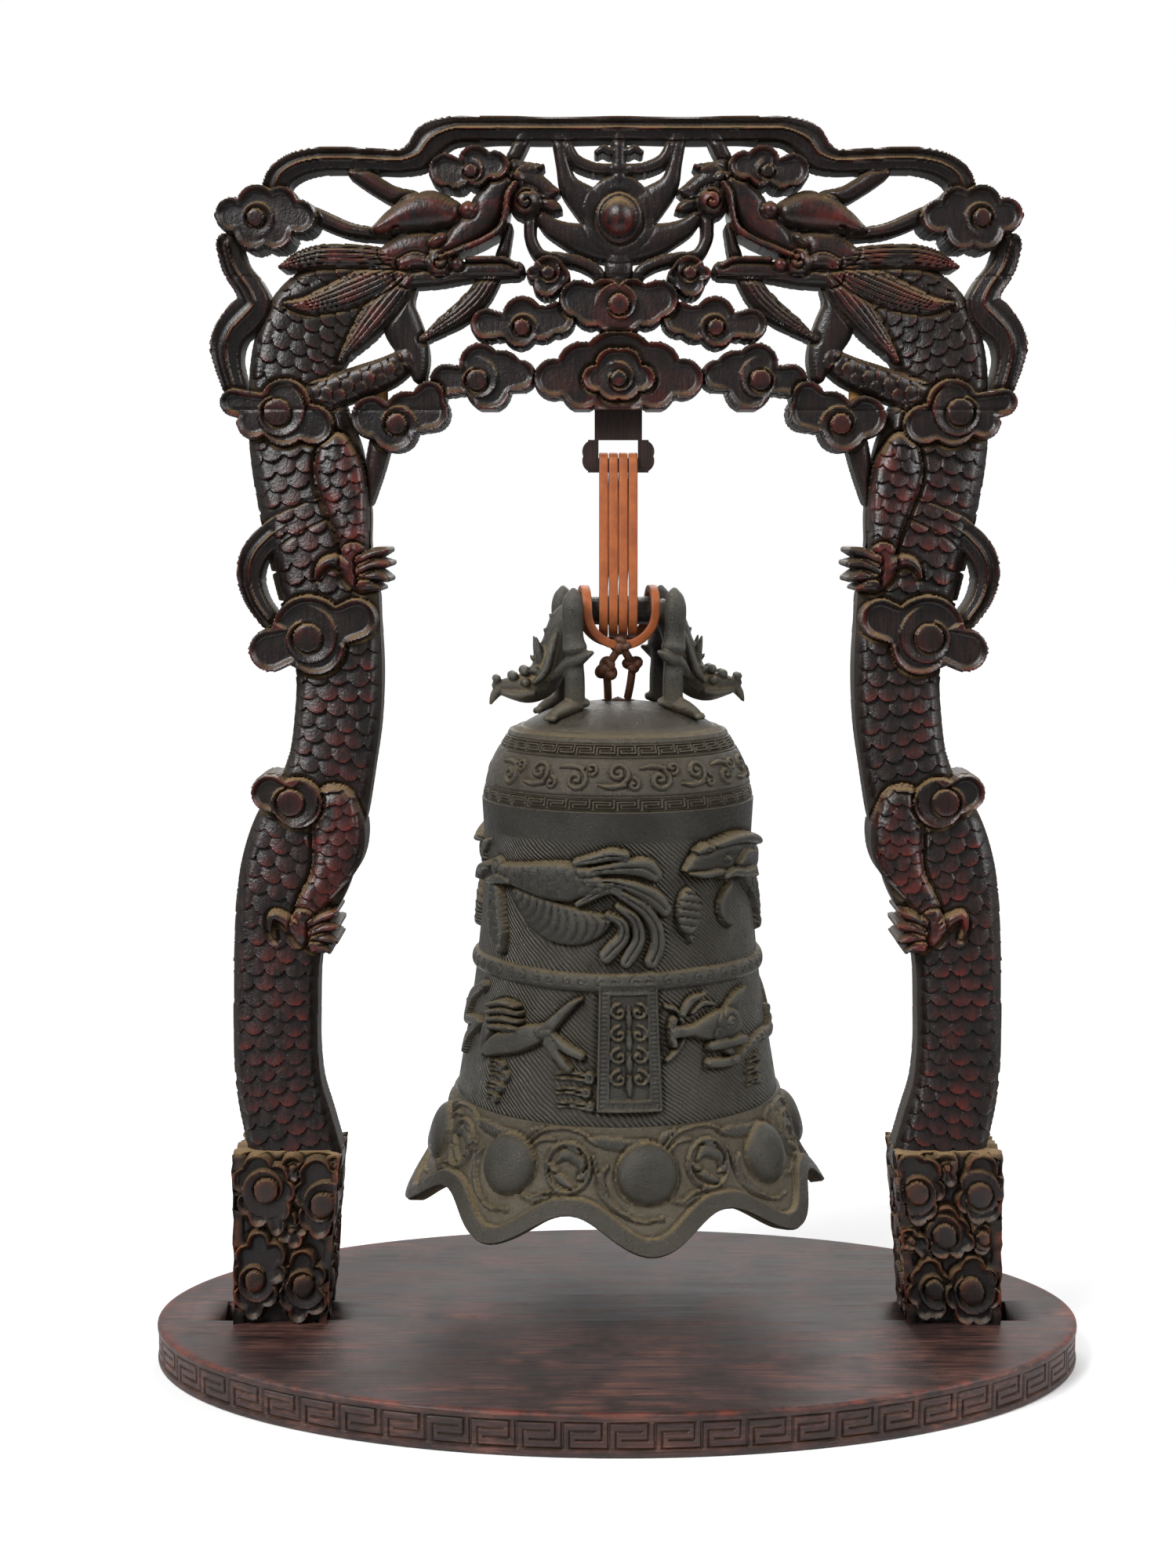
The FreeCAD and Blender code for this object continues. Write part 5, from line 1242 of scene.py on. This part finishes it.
inner_height = inner_points[:, 1:] + sway * np.clip(1 - inner_points[:, 1:] / 42, 0, 1)
inner_radius = np.interp(inner_height, inner_points[::-1, 1], inner_points[::-1, 0])
inner_radius[0] = dome_hole
inner_rows = np.zeros(inner_height.shape + (6,))
inner_rows[..., 0], inner_rows[..., 1], inner_rows[..., 3] = inner_radius, inner_height, 0.45
rows = np.concatenate(rows + [dome_rows, inner_rows])
# The rim's outer edge is eased
rows[0, :, 0] -= 0.5
rows[0, :, 1] += 0.05
around = turns + bell_turn
places = np.stack([rows[..., 0] * np.sin(around), -rows[..., 0] * np.cos(around), rows[..., 1] + rim_z], -1)
closing = np.arange(bell_columns)
last = (len(rows) - 1) * bell_columns
polygons = [closed_sheet(len(rows), bell_columns)[0],
            np.stack([closing + last, np.roll(closing, -1) + last, np.roll(closing, -1), closing], -1)]


# Old cast bronze: a dull brown-grey skin, half metal, that shines a little where hands and dust rub it
bronze, tree, shader, places_mm = new_material("old_cast_bronze")
share = mottled(tree, places_mm, 0.07, 6.0, 0.6, 0.38, 0.64)[1]
patches, patchy = mottled(tree, places_mm, 0.35, 4.0, 0.65, 0.35, 0.65, 0.3)
grains, flecked = mottled(tree, places_mm, 1.3, 4.0, 0.75, 0.3, 0.6, 0.15, 1.25)
rubbed, deep, dust, on_field = marks(tree, worn=patchy, deep=0.7, dusty=flecked, hatched=1.0)
# The fields are scored with lines 1.2 mm apart that run round the bell on a slant and wander a little
axes = add_node(tree, "SeparateXYZ", {0: places_mm}).outputs
angle = add_node(tree, "Math", {0: axes[1], 1: axes[0]}, operation="ARCTAN2").outputs[0]
wander = add_node(tree, "TexNoise", {"Vector": places_mm, "Scale": 0.05, "Detail": 2.0}).outputs[0]
phase = 0.0
for term, factor in ((angle, 170.0), (axes[2], 3.7), (wander, 24.0)):
    phase = add_node(tree, "Math", {0: term, 1: factor, 2: phase}, operation="MULTIPLY_ADD").outputs[0]
scores = add_node(tree, "Math", {0: phase}, operation="SINE").outputs[0]
scores = add_node(tree, "Math", {0: scores, 1: on_field}, operation="MULTIPLY").outputs[0]
scored = add_node(tree, "MapRange", {"Value": scores, "From Min": 0.2, "From Max": -1.0, "To Max": 0.26})
# Painted shade: the deep share darkens the skin near black in the hollows
skin = coated(tree, linear("#2f2f2b"), ((share, "#1f201e"), (rubbed, "#585750"), (deep, pore_and_shade_colour),
                                        (dust, "#736242"), (scored.outputs[0], "#6b5c42")))
metal = add_node(tree, "MapRange", {"Value": dust, "To Min": 0.45, "To Max": 0.0})
tree.links.new(metal.outputs[0], shader.inputs["Metallic"])
shine = add_node(tree, "MapRange", {"Value": dust, "To Min": 0.27, "To Max": 0.85}).outputs[0]
shine = add_node(tree, "Math", {0: shine, 1: patches}, operation="ADD").outputs[0]
shine = add_node(tree, "Math", {0: shine, 1: 0.42}, operation="SUBTRACT", use_clamp=True).outputs[0]
height = add_node(tree, "Math", {0: scores, 1: 0.5, 2: grains}, operation="MULTIPLY_ADD").outputs[0]
dress(tree, shader, skin, shine, height, 1.0, 0.35)
worn, dusty, hatched, deep = np.moveaxis(rows[..., 2:], -1, 0)
shell = make_piece("cast_bell_body", places.reshape(-1, 3), polygons, bronze, 40,
                   worn=worn, dusty=dusty, hatched=hatched, deep=deep)
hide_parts("bell_body")
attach(shell, "bell")


# The bell's crown: two dragons joined by a bar, cast in one with the bell, each on two tall knees with its
# chin down on the dome. Same bronze, with dust in the folds and the knees and horns rubbed bare. Round forms
# are melted into one skin, and what stands out of it and what lies back is found by smoothing it.
dome_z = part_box("bell_body")[1].z / MM
crown_grain = 0.42
# Rows of (out from the middle, to the back, height over the dome, radius) of one dragon, the right one
crown_leg = [(17.7, 13, 39.6, 0.7), (17.6, 13, 38.2, 2.1), (17.9, 13, 34.5, 3.6), (18.0, 13, 29, 3.8),
             (17.8, 13, 24, 3.6), (17.6, 13.2, 21, 3.9), (17.3, 13.4, 19, 4.4), (17.2, 13.2, 17, 3.6),
             (17.3, 13, 14, 3.3), (17.3, 13, 9, 3.6), (17.2, 13, 4, 3.6), (17.3, 13, -1.5, 3.5)]
crown_foot = [(12.2, 12.5, 0.1, 1.2), (15.5, 12.8, -0.2, 2.3), (19, 13.6, -1.2, 3.0), (22.5, 14.6, -2.8, 2.7),
              (25.6, 15.4, -4.6, 1.9)]
crown_toes = [(26.0, 12.8), (27.2, 14.6), (26.9, 16.4), (25.4, 17.9)]
crown_neck = [(13.5, 0, 31.2, 5.0), (18, 0, 28.5, 5.2), (21.5, 0, 20, 5.4), (24.2, 0, 12, 6.0),
              (27.2, 0, 6.6, 6.0), (31, 0, 4.5, 5.4), (35, 0, 4.5, 4.9), (39, 0, 4.7, 3.6),
              (42.2, 0, 5.4, 2.5), (43.6, 0, 6.6, 1.6)]
crown_bar = [(-14, 0, 31.4, 5.2), (-7, 0, 31.2, 4.9), (0, 0, 31.4, 5.3), (7, 0, 31.2, 4.9),
             (14, 0, 31.4, 5.2)]
crown_small = [
    [(24.5, 6.2, 8.0, 1.0), (21, 10.2, 11.2, 2.5), (16.5, 14.6, 15.2, 2.8), (11.2, 16.4, 17.8, 0.7)],
    [(27.2, 2.6, 12.5, 2.0), (28.2, 3.0, 17.5, 1.5), (29.4, 3.4, 22.6, 0.35)],
    [(22.5, 5.4, 24, 0.8), (24.5, 6.0, 17, 1.5), (27, 6.2, 10, 1.6), (30.5, 5.6, 6.5, 0.9)],
    [(41.8, 0.9, 4.4, 1.9), (43.6, 1.0, 2.0, 1.5), (45.2, 1.0, -1.2, 0.35)],
    [(30, 4.6, 3.0, 1.2), (35, 4.4, 2.2, 1.3), (40, 2.9, 2.8, 1.0), (42.6, 1.2, 4.0, 0.8)]]
crown_knobs = [(42.9, 1.5, 7.9, 1.5), (37.2, 2.6, 8.8, 1.8), (33.0, 2.9, 10.6, 1.9), (33.2, 4.9, 6.8, 1.7),
               (29.6, 4.2, 10.6, 1.6)]
crown_ridge = [(18.5, 31.5), (21.2, 26.8), (23.2, 21.6), (25.2, 16.6), (28.0, 12.4)]


def tube(points, spacing=0.8, sides=16, squash=1.0):
    """A closed round tube along a smooth line, its places and faces."""
    points = np.asarray(points, float)
    length = np.linalg.norm(np.diff(points[:, :3], axis=0), axis=1).sum()
    line = smooth_line(points, max(6, int(length / spacing)))
    way = np.gradient(line[:, :3], axis=0)
    way /= np.linalg.norm(way, axis=1)[:, None]
    across = np.cross(way, (0.05, 1.0, 0.02))
    across /= np.linalg.norm(across, axis=1)[:, None]
    deep = np.cross(across, way) * squash
    turn = np.arange(sides) / sides * 2 * math.pi
    rings = line[:, None, :3] + line[:, None, 3:] * (across[:, None] * np.cos(turn)[:, None]
                                                     + deep[:, None] * np.sin(turn)[:, None])
    ends = np.array([line[0, :3] - way[0] * line[0, 3] * 0.5, line[-1, :3] + way[-1] * line[-1, 3] * 0.5])
    return np.concatenate([rings.reshape(-1, 3), ends]), closed_sheet(len(line), sides)


def ball(x, y, z, radius, sides=14):
    """A ball as a tube."""
    turn = np.linspace(0.12, math.pi - 0.12, 9)
    rows = [(x, y, z - radius * math.cos(t), radius * math.sin(t)) for t in turn]
    return tube(rows, radius / 5, sides)


def gathered(parts):
    """Several closed forms as one list of places and faces."""
    places, faces, count = [], [], 0
    for part_places, part_faces in parts:
        places.append(part_places)
        faces += [face + count for face in part_faces]
        count += len(part_places)
    return np.concatenate(places), faces


def melted(piece, voxel, rounds):
    """The forms of a piece melted into one skin, as its new mesh."""
    remesh = piece.modifiers.new("one_skin", "REMESH")
    remesh.mode = "VOXEL"
    remesh.voxel_size = voxel * MM
    smooth = piece.modifiers.new("soften", "SMOOTH")
    smooth.factor = 0.6
    smooth.iterations = rounds
    solved = piece.evaluated_get(bpy.context.evaluated_depsgraph_get())
    mesh = bpy.data.meshes.new_from_object(solved)
    piece.modifiers.clear()
    piece.data = mesh
    mesh.shade_smooth()
    return mesh


def mesh_places(mesh):
    """The places of a mesh in mm and their outward normals."""
    places = np.empty(len(mesh.vertices) * 3)
    mesh.vertices.foreach_get("co", places)
    normals = np.empty(len(mesh.vertices) * 3)
    mesh.vertices.foreach_get("normal", normals)
    return places.reshape(-1, 3) / MM, normals.reshape(-1, 3)


def folds(mesh, rounds):
    """How far each place stands out of the mesh smoothed this many times, in mm."""
    places, normals = mesh_places(mesh)
    ends = np.empty(len(mesh.edges) * 2, np.int32)
    mesh.edges.foreach_get("vertices", ends)
    first, second = ends.reshape(-1, 2).T
    count = np.bincount(first, minlength=len(places)) + np.bincount(second, minlength=len(places))
    smooth = places
    for _ in range(rounds):
        total = np.stack([np.bincount(first, smooth[second, axis], len(places))
                          + np.bincount(second, smooth[first, axis], len(places)) for axis in range(3)], -1)
        smooth = total / count[:, None]
    return ((places - smooth) * normals).sum(1)


forms = []
for end in (-1, 1):
    for side in (-1, 1):
        flip = np.array([end, side, 1, 1])
        forms.append(tube(np.array(crown_leg) * flip))
        forms.append(tube(np.array(crown_foot) * flip, squash=1.25))
        forms += [ball(x * end, y * side, -4.9, 1.25) for x, y in crown_toes]
        forms += [tube(np.array(rows) * flip, 0.6) for rows in crown_small]
        forms += [ball(*(np.array(knob) * flip)) for knob in crown_knobs]
    forms.append(tube(np.array(crown_neck) * (end, 1, 1, 1), squash=0.95))
    for (x0, z0), (x1, z1) in zip(crown_ridge, crown_ridge[1:]):
        forms.append(tube([(x0 * end, 0, z0, 1.5), ((x1 + 2.2) * end, 0, z1 + 2.6, 1.0),
                           ((x1 + 3.2) * end, 0, z1 + 3.6, 0.3)], 0.6))
forms.append(tube(crown_bar))
places, faces = gathered(forms)
bell_twist = np.array([[math.cos(bell_turn), math.sin(bell_turn)],
                       [-math.sin(bell_turn), math.cos(bell_turn)]])
places[:, :2] = places[:, :2] @ bell_twist
places[:, 2] += dome_z
crown_piece = make_piece("cast_dragon_crown", places, faces, bronze)
mesh = melted(crown_piece, crown_grain, 4)
places, normals = mesh_places(mesh)
fine, wide = folds(mesh, 4), folds(mesh, 40)
upward = np.clip(normals[:, 2], 0, 1)
low = np.clip(1 - (places[:, 2] - dome_z) / 9, 0, 1)
dusty = np.clip(ease(-wide / 0.7) * 0.6 + ease(-fine / 0.1) * 0.3 + upward * 0.12 + low * 0.2, 0, 1)
worn = np.clip(ease(wide / 0.9) * 0.6 + ease(fine / 0.12) * 0.4, 0, 1)
write_shares(mesh, worn=worn, dusty=dusty)
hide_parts("bell_crown")
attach(crown_piece, "bell")


# The lace: a flat strap of tanned cowhide 3 mm wide, orange-brown, wound four times over the tab's bar and
# under the crown's, tied there and knotted above the dome, where the knots have gone dark with age. It is one
# strap along each path, and round strands for the knots and the tails.
strap_width, strap_thickness, strap_sides = 3.15, 2.3, 16
lace_turns, lace_pitch = 4, 3.4
sling_top_z, sling_top_radius = 320.5, 3.27
crown_bar_z = 270.2
sling_lift, sling_low_radius, sling_bow = 0.48, 8.79, 0.12
tie_spread, tie_corner, tie_radius = 12.0, 11.7, 7.75


def leather(name, ground, shade, edge):
    """Vegetable-tanned cowhide: warm, uneven and a little shiny, with short fibres and darker cut edges."""
    material, tree, shader, places = new_material(name)
    share = mottled(tree, places, 0.22, 5.0, 0.65, 0.36, 0.66)[1]
    cut = marks(tree, cut_edge=1.0)[0]
    fibres = add_node(tree, "VectorMath", {0: places, 1: (4.0, 4.0, 0.7)}, operation="MULTIPLY").outputs[0]
    grain, deepened = mottled(tree, fibres, 1.0, 4.0, 0.7, 0.3, 0.55, 0.35, 0.0)
    colour = coated(tree, linear(ground), ((share, shade), (cut, edge), (deepened, edge)))
    shine = add_node(tree, "MapRange", {"Value": grain, "To Min": 0.42, "To Max": 0.68}).outputs[0]
    dress(tree, shader, colour, shine, grain, 0.4, 0.15)
    return material


def strap(path, facing):
    """A flat strap along a path, its face turned this way: its places, faces and cut edges."""
    path, facing = np.asarray(path, float), np.asarray(facing, float)
    way = np.gradient(path, axis=0)
    way /= np.linalg.norm(way, axis=1)[:, None]
    side = np.cross(way, facing)
    side /= np.linalg.norm(side, axis=1)[:, None]
    out = np.cross(side, way)
    turn = (np.arange(strap_sides) + 0.5) / strap_sides * 2 * math.pi
    across, deep = (np.sign(wave) * np.abs(wave) ** 0.34 * size / 2
                    for wave, size in ((np.cos(turn), strap_width), (np.sin(turn), strap_thickness)))
    rings = path[:, None] + side[:, None] * across[:, None] + out[:, None] * deep[:, None]
    edges = np.tile(ease((np.abs(across) / strap_width * 2 - 0.8) / 0.2), len(path))
    return (np.concatenate([rings.reshape(-1, 3), path[:1], path[-1:]]), closed_sheet(len(path), strap_sides),
            np.r_[edges, 1, 1])


def arc_rows(centre_z, radius, start, end, count, x):
    """Places on a turn round a bar that lies along X, the angle from straight back over the top."""
    angle = np.linspace(start, end, count)
    return np.column_stack([np.full(count, x), radius * np.cos(angle), centre_z + radius * np.sin(angle)])


low_z = crown_bar_z + sling_lift
slant = math.asin((sling_low_radius - sling_top_radius) / (sling_top_z - low_z))
between = np.linspace(0, 1, 24)[1:-1, None]
bow = sling_bow * np.sin(np.linspace(0, math.pi, len(between)))
route, facing = [], []
for number in range(lace_turns):
    x = (number - (lace_turns - 1) / 2) * lace_pitch
    over = arc_rows(sling_top_z, sling_top_radius, slant, math.pi - slant, 18, x)
    under = arc_rows(low_z, sling_low_radius, math.pi - slant, 2 * math.pi + slant, 26, x)
    down = over[-1] + (under[0] - over[-1]) * between
    down[:, 1] -= bow * (number % 2)
    up = under[-1] + (over[0] + (lace_pitch, 0, 0) - under[-1]) * np.c_[ease(between), between, between]
    top, foot = (x, 0, sling_top_z), (x, 0, low_z)
    stages = [(over, over - top), (down, np.repeat([over[-1] - top], len(down), 0)), (under, under - foot),
              (up, np.repeat([over[0] - top], len(up), 0))]
    for places, away in stages[:4 if number < lace_turns - 1 else 3]:
        route.append(places)
        facing.append(away)
places, faces, edges = strap(np.concatenate(route), np.concatenate(facing))
tan_leather = leather("tanned_cowhide", "#a85a26", "#8c461e", "#6c3a1e")
dark_leather = leather("old_dark_cowhide", "#6b3f24", "#4b2a19", "#3a2317")
sling = make_piece("wound_leather_lace", places, faces, tan_leather, 50, cut_edge=edges)
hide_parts("lace_sling")
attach(sling, "sling")


def knot(x, y, z, radius, turned, flat):
    """A simple overhand knot drawn tight: one strand through its own loop, round a firm middle."""
    t = np.linspace(0, 2 * math.pi, 60)
    strand = radius * 0.4
    line = np.array([np.sin(t) + 1.6 * np.sin(2 * t), np.cos(t) - 1.6 * np.cos(2 * t), -1.1 * np.sin(3 * t)])
    u, v, w = line * (radius - strand) / 2.6
    across, up = u * math.cos(turned) - v * math.sin(turned), u * math.sin(turned) + v * math.cos(turned)
    rows = np.column_stack([across + x, w + y, up * flat + z, np.full(len(t), strand)])
    return [tube(rows, 0.5, 10), ball(x, y, z, radius * 0.6, 10)]


# The tie and its two knots, on the bell
bend, angle = np.linspace(0, math.pi / 2, 14), np.linspace(math.pi, 0, 22)[1:-1]
parts = []
for side in (-1, 1):
    x = side * (tie_spread - tie_corner) + side * tie_corner * np.sin(bend)
    first, last = (np.column_stack([x, np.full(len(bend), face * tie_radius),
                                    crown_bar_z - tie_corner * np.cos(bend)]) for face in (-1, 1))
    over = np.column_stack([np.full(len(angle), side * tie_spread), tie_radius * np.cos(angle),
                            crown_bar_z + tie_radius * np.sin(angle)])
    facing = [np.repeat([(0, -1, 0)], len(bend), 0), over - (side * tie_spread, 0, crown_bar_z),
              np.repeat([(0, 1, 0)], len(bend), 0)]
    parts.append(strap(np.concatenate([first, over, last[::-1]]), np.concatenate(facing)))
strap_faces = sum(len(part[1]) for part in parts)
tie_low = crown_bar_z - tie_corner
knots = [form for face in (-1, 1) for form in knot(0, face * tie_radius, tie_low, 3.6, 0.4 * face, 1.0)]
parts += [(form[0], form[1], np.full(len(form[0]), 0.3)) for form in knots]
places, faces = gathered([part[:2] for part in parts])
edges = np.concatenate([part[2] for part in parts])
places[:, :2] = places[:, :2] @ bell_twist
tie = make_piece("leather_tie", places, faces, tan_leather, 50, cut_edge=edges)
dark = np.concatenate([np.full(len(face), number >= strap_faces) for number, face in enumerate(faces)])
tie.data.materials.append(dark_leather)
tie.data.polygons.foreach_set("material_index", dark.astype(np.int32))
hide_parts("lace_tie")
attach(tie, "bell")

# The lower knots and their tails, and the strands that hold the clapper under the dome
strand = 1.4
knot_z, knot_out, knot_y = tie_low - 8.6, 4.7, -tie_radius / 2
hole_z = dome_z - bell_wall / 2
clapper_lace_length, loop_radius = 66.0, 3.5
clapper_turn_z = hole_z - clapper_lace_length + loop_radius
forms = knot(-knot_out, knot_y - 0.4, knot_z, 4.4, 0.9, 1.1)
forms += knot(knot_out, knot_y, knot_z + 1.6, 4.0, 2.3, 0.7)
for side, height in ((-1, 0.0), (1, 1.6)):
    low_end = (side * knot_out, knot_y, knot_z + height, strand)
    forms.append(tube([(0, -tie_radius, tie_low, strand),
                       (side * 2.6, -tie_radius * 0.8, tie_low - 4.2, strand), low_end], 0.6, 12))
    forms.append(tube([low_end, (side * 4.0, -2.2, knot_z - 6, strand),
                       (side * 3.5, 0, hole_z + 2.6, strand)], 0.6, 12))
turning = np.linspace(math.pi, 2 * math.pi, 16)
strands = [[(side * loop_radius, 0, hole_z - 0.4, strand),
            (side * loop_radius, 0, (hole_z + clapper_turn_z) / 2, strand)] for side in (-1, 1)]
bottom = [(loop_radius * math.cos(t), 0, clapper_turn_z + loop_radius * math.sin(t), strand) for t in turning]
loop = strands[0] + bottom + strands[1][::-1]
hanging = [tube(loop, 0.8, 12), ball(0, 0, hole_z, 3.0)]
for name, node, body_name, group in (("leather_knots_and_tails", "lace_knots", "bell", forms),
                                     ("leather_clapper_lace", "clapper_lace", "clapper_lace", hanging)):
    places, faces = gathered(group)
    places[:, :2] = places[:, :2] @ bell_twist
    piece = make_piece(name, places, faces, dark_leather, 50, cut_edge=np.full(len(places), 0.2))
    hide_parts(node)
    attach(piece, body_name)


# The remaining solids keep their CAD form: the hanger tab and the dowels in plain wood, the clapper in iron.
def plain_wood(name, ground, streak, grain, polish):
    """Plain planed wood with close straight grain, its pores a little darker than the rest."""
    material, tree, shader, places = new_material(name)
    shader.inputs["Specular IOR Level"].default_value = 0.36
    stretched = add_node(tree, "VectorMath", {0: places, 1: grain}, operation="MULTIPLY").outputs[0]
    streaks, share = mottled(tree, stretched, 1.0, 6.0, 0.65, 0.35, 0.68)
    shine = add_node(tree, "MapRange", {"Value": streaks, "To Min": polish, "To Max": polish + 0.2})
    colour = coated(tree, linear(ground), [(share, streak)])
    dress(tree, shader, colour, shine.outputs[0], streaks, 0.3, 0.2)
    return material


tab_wood = plain_wood("dark_rosewood_plate", "#1b1311", "#35211c", (1.6, 1.6, 0.12), 0.38)
dowel_wood = plain_wood("raw_bamboo_dowels", "#a8763f", "#c9975a", (0.15, 2.0, 2.0), 0.6)
iron, tree, shader, places_mm = new_material("forged_iron_clapper")
shader.inputs["Metallic"].default_value = 0.7
rust = add_node(tree, "TexNoise", {"Vector": places_mm, "Scale": 0.4, "Detail": 5.0}).outputs[0]
tree.links.new(coated(tree, linear("#2e2b29"), [(rust, "#5a3b28")]), shader.inputs["Base Color"])
shine = add_node(tree, "MapRange", {"Value": rust, "To Min": 0.45, "To Max": 0.75}).outputs[0]
tree.links.new(shine, shader.inputs["Roughness"])
for node, material in (("hanger_tab", tab_wood), ("leg_dowels_left", dowel_wood),
                       ("leg_dowels_right", dowel_wood), ("board_dowels", dowel_wood), ("clapper", iron)):
    solid = bpy.data.objects[node]
    solid.data.materials.clear()
    solid.data.materials.append(material)

# The stage: a pale floor and soft light from three large softboxes and the room, seen as in the photograph.
# The floor is matt paper, lit at its edges as brightly as the room, so that only the object's shadow shows.
camera_lens = 50.0
floor_colour, room_colour = "#fbfbfb", "#ffffff"
room_light, front_mirror = 0.25, 0.2


def softbox(name, place, target, size, power):
    """A square soft light that faces a place."""
    lamp = bpy.data.lights.new(name, "AREA")
    lamp.shape = "SQUARE"
    lamp.size = size
    lamp.energy = power
    light = bpy.data.objects.new(name, lamp)
    bpy.context.scene.collection.objects.link(light)
    light.location = place
    light.rotation_euler = (Vector(target) - Vector(place)).to_track_quat("-Z", "Y").to_euler()


softbox("key_softbox", (-0.8, -0.75, 1.2), (0, 0, 0.2), 0.7, 27.0)
softbox("fill_softbox", (1.1, -0.35, 0.9), (0, 0, 0.2), 0.7, 12.0)
softbox("back_softbox", (0.1, 0.9, 1.1), (0, 0, 0.25), 0.7, 9.0)
world = bpy.data.worlds.new("pale_room")
bpy.context.scene.world = world
world.use_nodes = True
tree = world.node_tree
paths = add_node(tree, "LightPath").outputs
# What the object mirrors is the white background behind it and a darker room in front of it
behind = add_node(tree, "SeparateXYZ", {0: add_node(tree, "TexCoord").outputs["Generated"]}).outputs[1]
behind = add_node(tree, "MapRange", {"Value": behind, "From Min": -0.35, "From Max": 0.5,
                                     "To Min": front_mirror, "To Max": 1.0})
mirrored = add_node(tree, "Math", {0: paths["Is Glossy Ray"], 1: behind.outputs[0]}, operation="MULTIPLY")
seen = add_node(tree, "Math", {0: paths["Is Camera Ray"], 1: mirrored.outputs[0]}, operation="MAXIMUM")
seen = add_node(tree, "Math", {0: seen.outputs[0], 1: paths["Is Transmission Ray"]}, operation="MAXIMUM")
glow = add_node(tree, "MapRange", {"Value": seen.outputs[0], "To Min": room_light, "To Max": 1.0})
tree.nodes["Background"].inputs["Color"].default_value = linear(room_colour)
tree.links.new(glow.outputs[0], tree.nodes["Background"].inputs["Strength"])
floor_mesh = bpy.data.meshes.new("floor")
floor_mesh.from_pydata([(-5, -4, 0), (5, -4, 0), (5, 8, 0), (-5, 8, 0)], [], [(0, 1, 2, 3)])
floor = bpy.data.objects.new("floor", floor_mesh)
bpy.context.scene.collection.objects.link(floor)
paper, tree, shader, places = new_material("matt_white_paper")
shader.inputs["Roughness"].default_value = 0.9
shader.inputs["Specular IOR Level"].default_value = 0.1
# Away from the object the paper is lit as brightly as the room behind it, so that no edge of it shows
away = add_node(tree, "VectorMath", {0: places}, operation="LENGTH")
away = add_node(tree, "MapRange", {"Value": away.outputs["Value"], "From Min": 230.0, "From Max": 520.0},
                interpolation_type="SMOOTHSTEP")
paper_colour = add_node(tree, "MixRGB", {"Fac": away.outputs[0], "Color1": linear(floor_colour),
                                         "Color2": (0, 0, 0, 1)})
tree.links.new(paper_colour.outputs[0], shader.inputs["Base Color"])
seen = add_node(tree, "LightPath").outputs["Is Camera Ray"]
glow = add_node(tree, "MapRange", {"Value": seen, "To Min": room_light, "To Max": 1.0})
glow = add_node(tree, "Math", {0: glow.outputs[0], 1: away.outputs[0]}, operation="MULTIPLY")
shader.inputs["Emission Color"].default_value = linear(room_colour)
tree.links.new(glow.outputs[0], shader.inputs["Emission Strength"])
floor_mesh.materials.append(paper)
camera = bpy.data.cameras.new("camera")
camera.lens = camera_lens
viewer = bpy.data.objects.new("camera", camera)
bpy.context.scene.collection.objects.link(viewer)
viewer.location = Vector(camera_place) * MM
viewer.rotation_euler = (math.pi / 2 - view_tilt, 0, 0)
bpy.context.scene.camera = viewer
bpy.context.scene.view_settings.view_transform = "Standard"
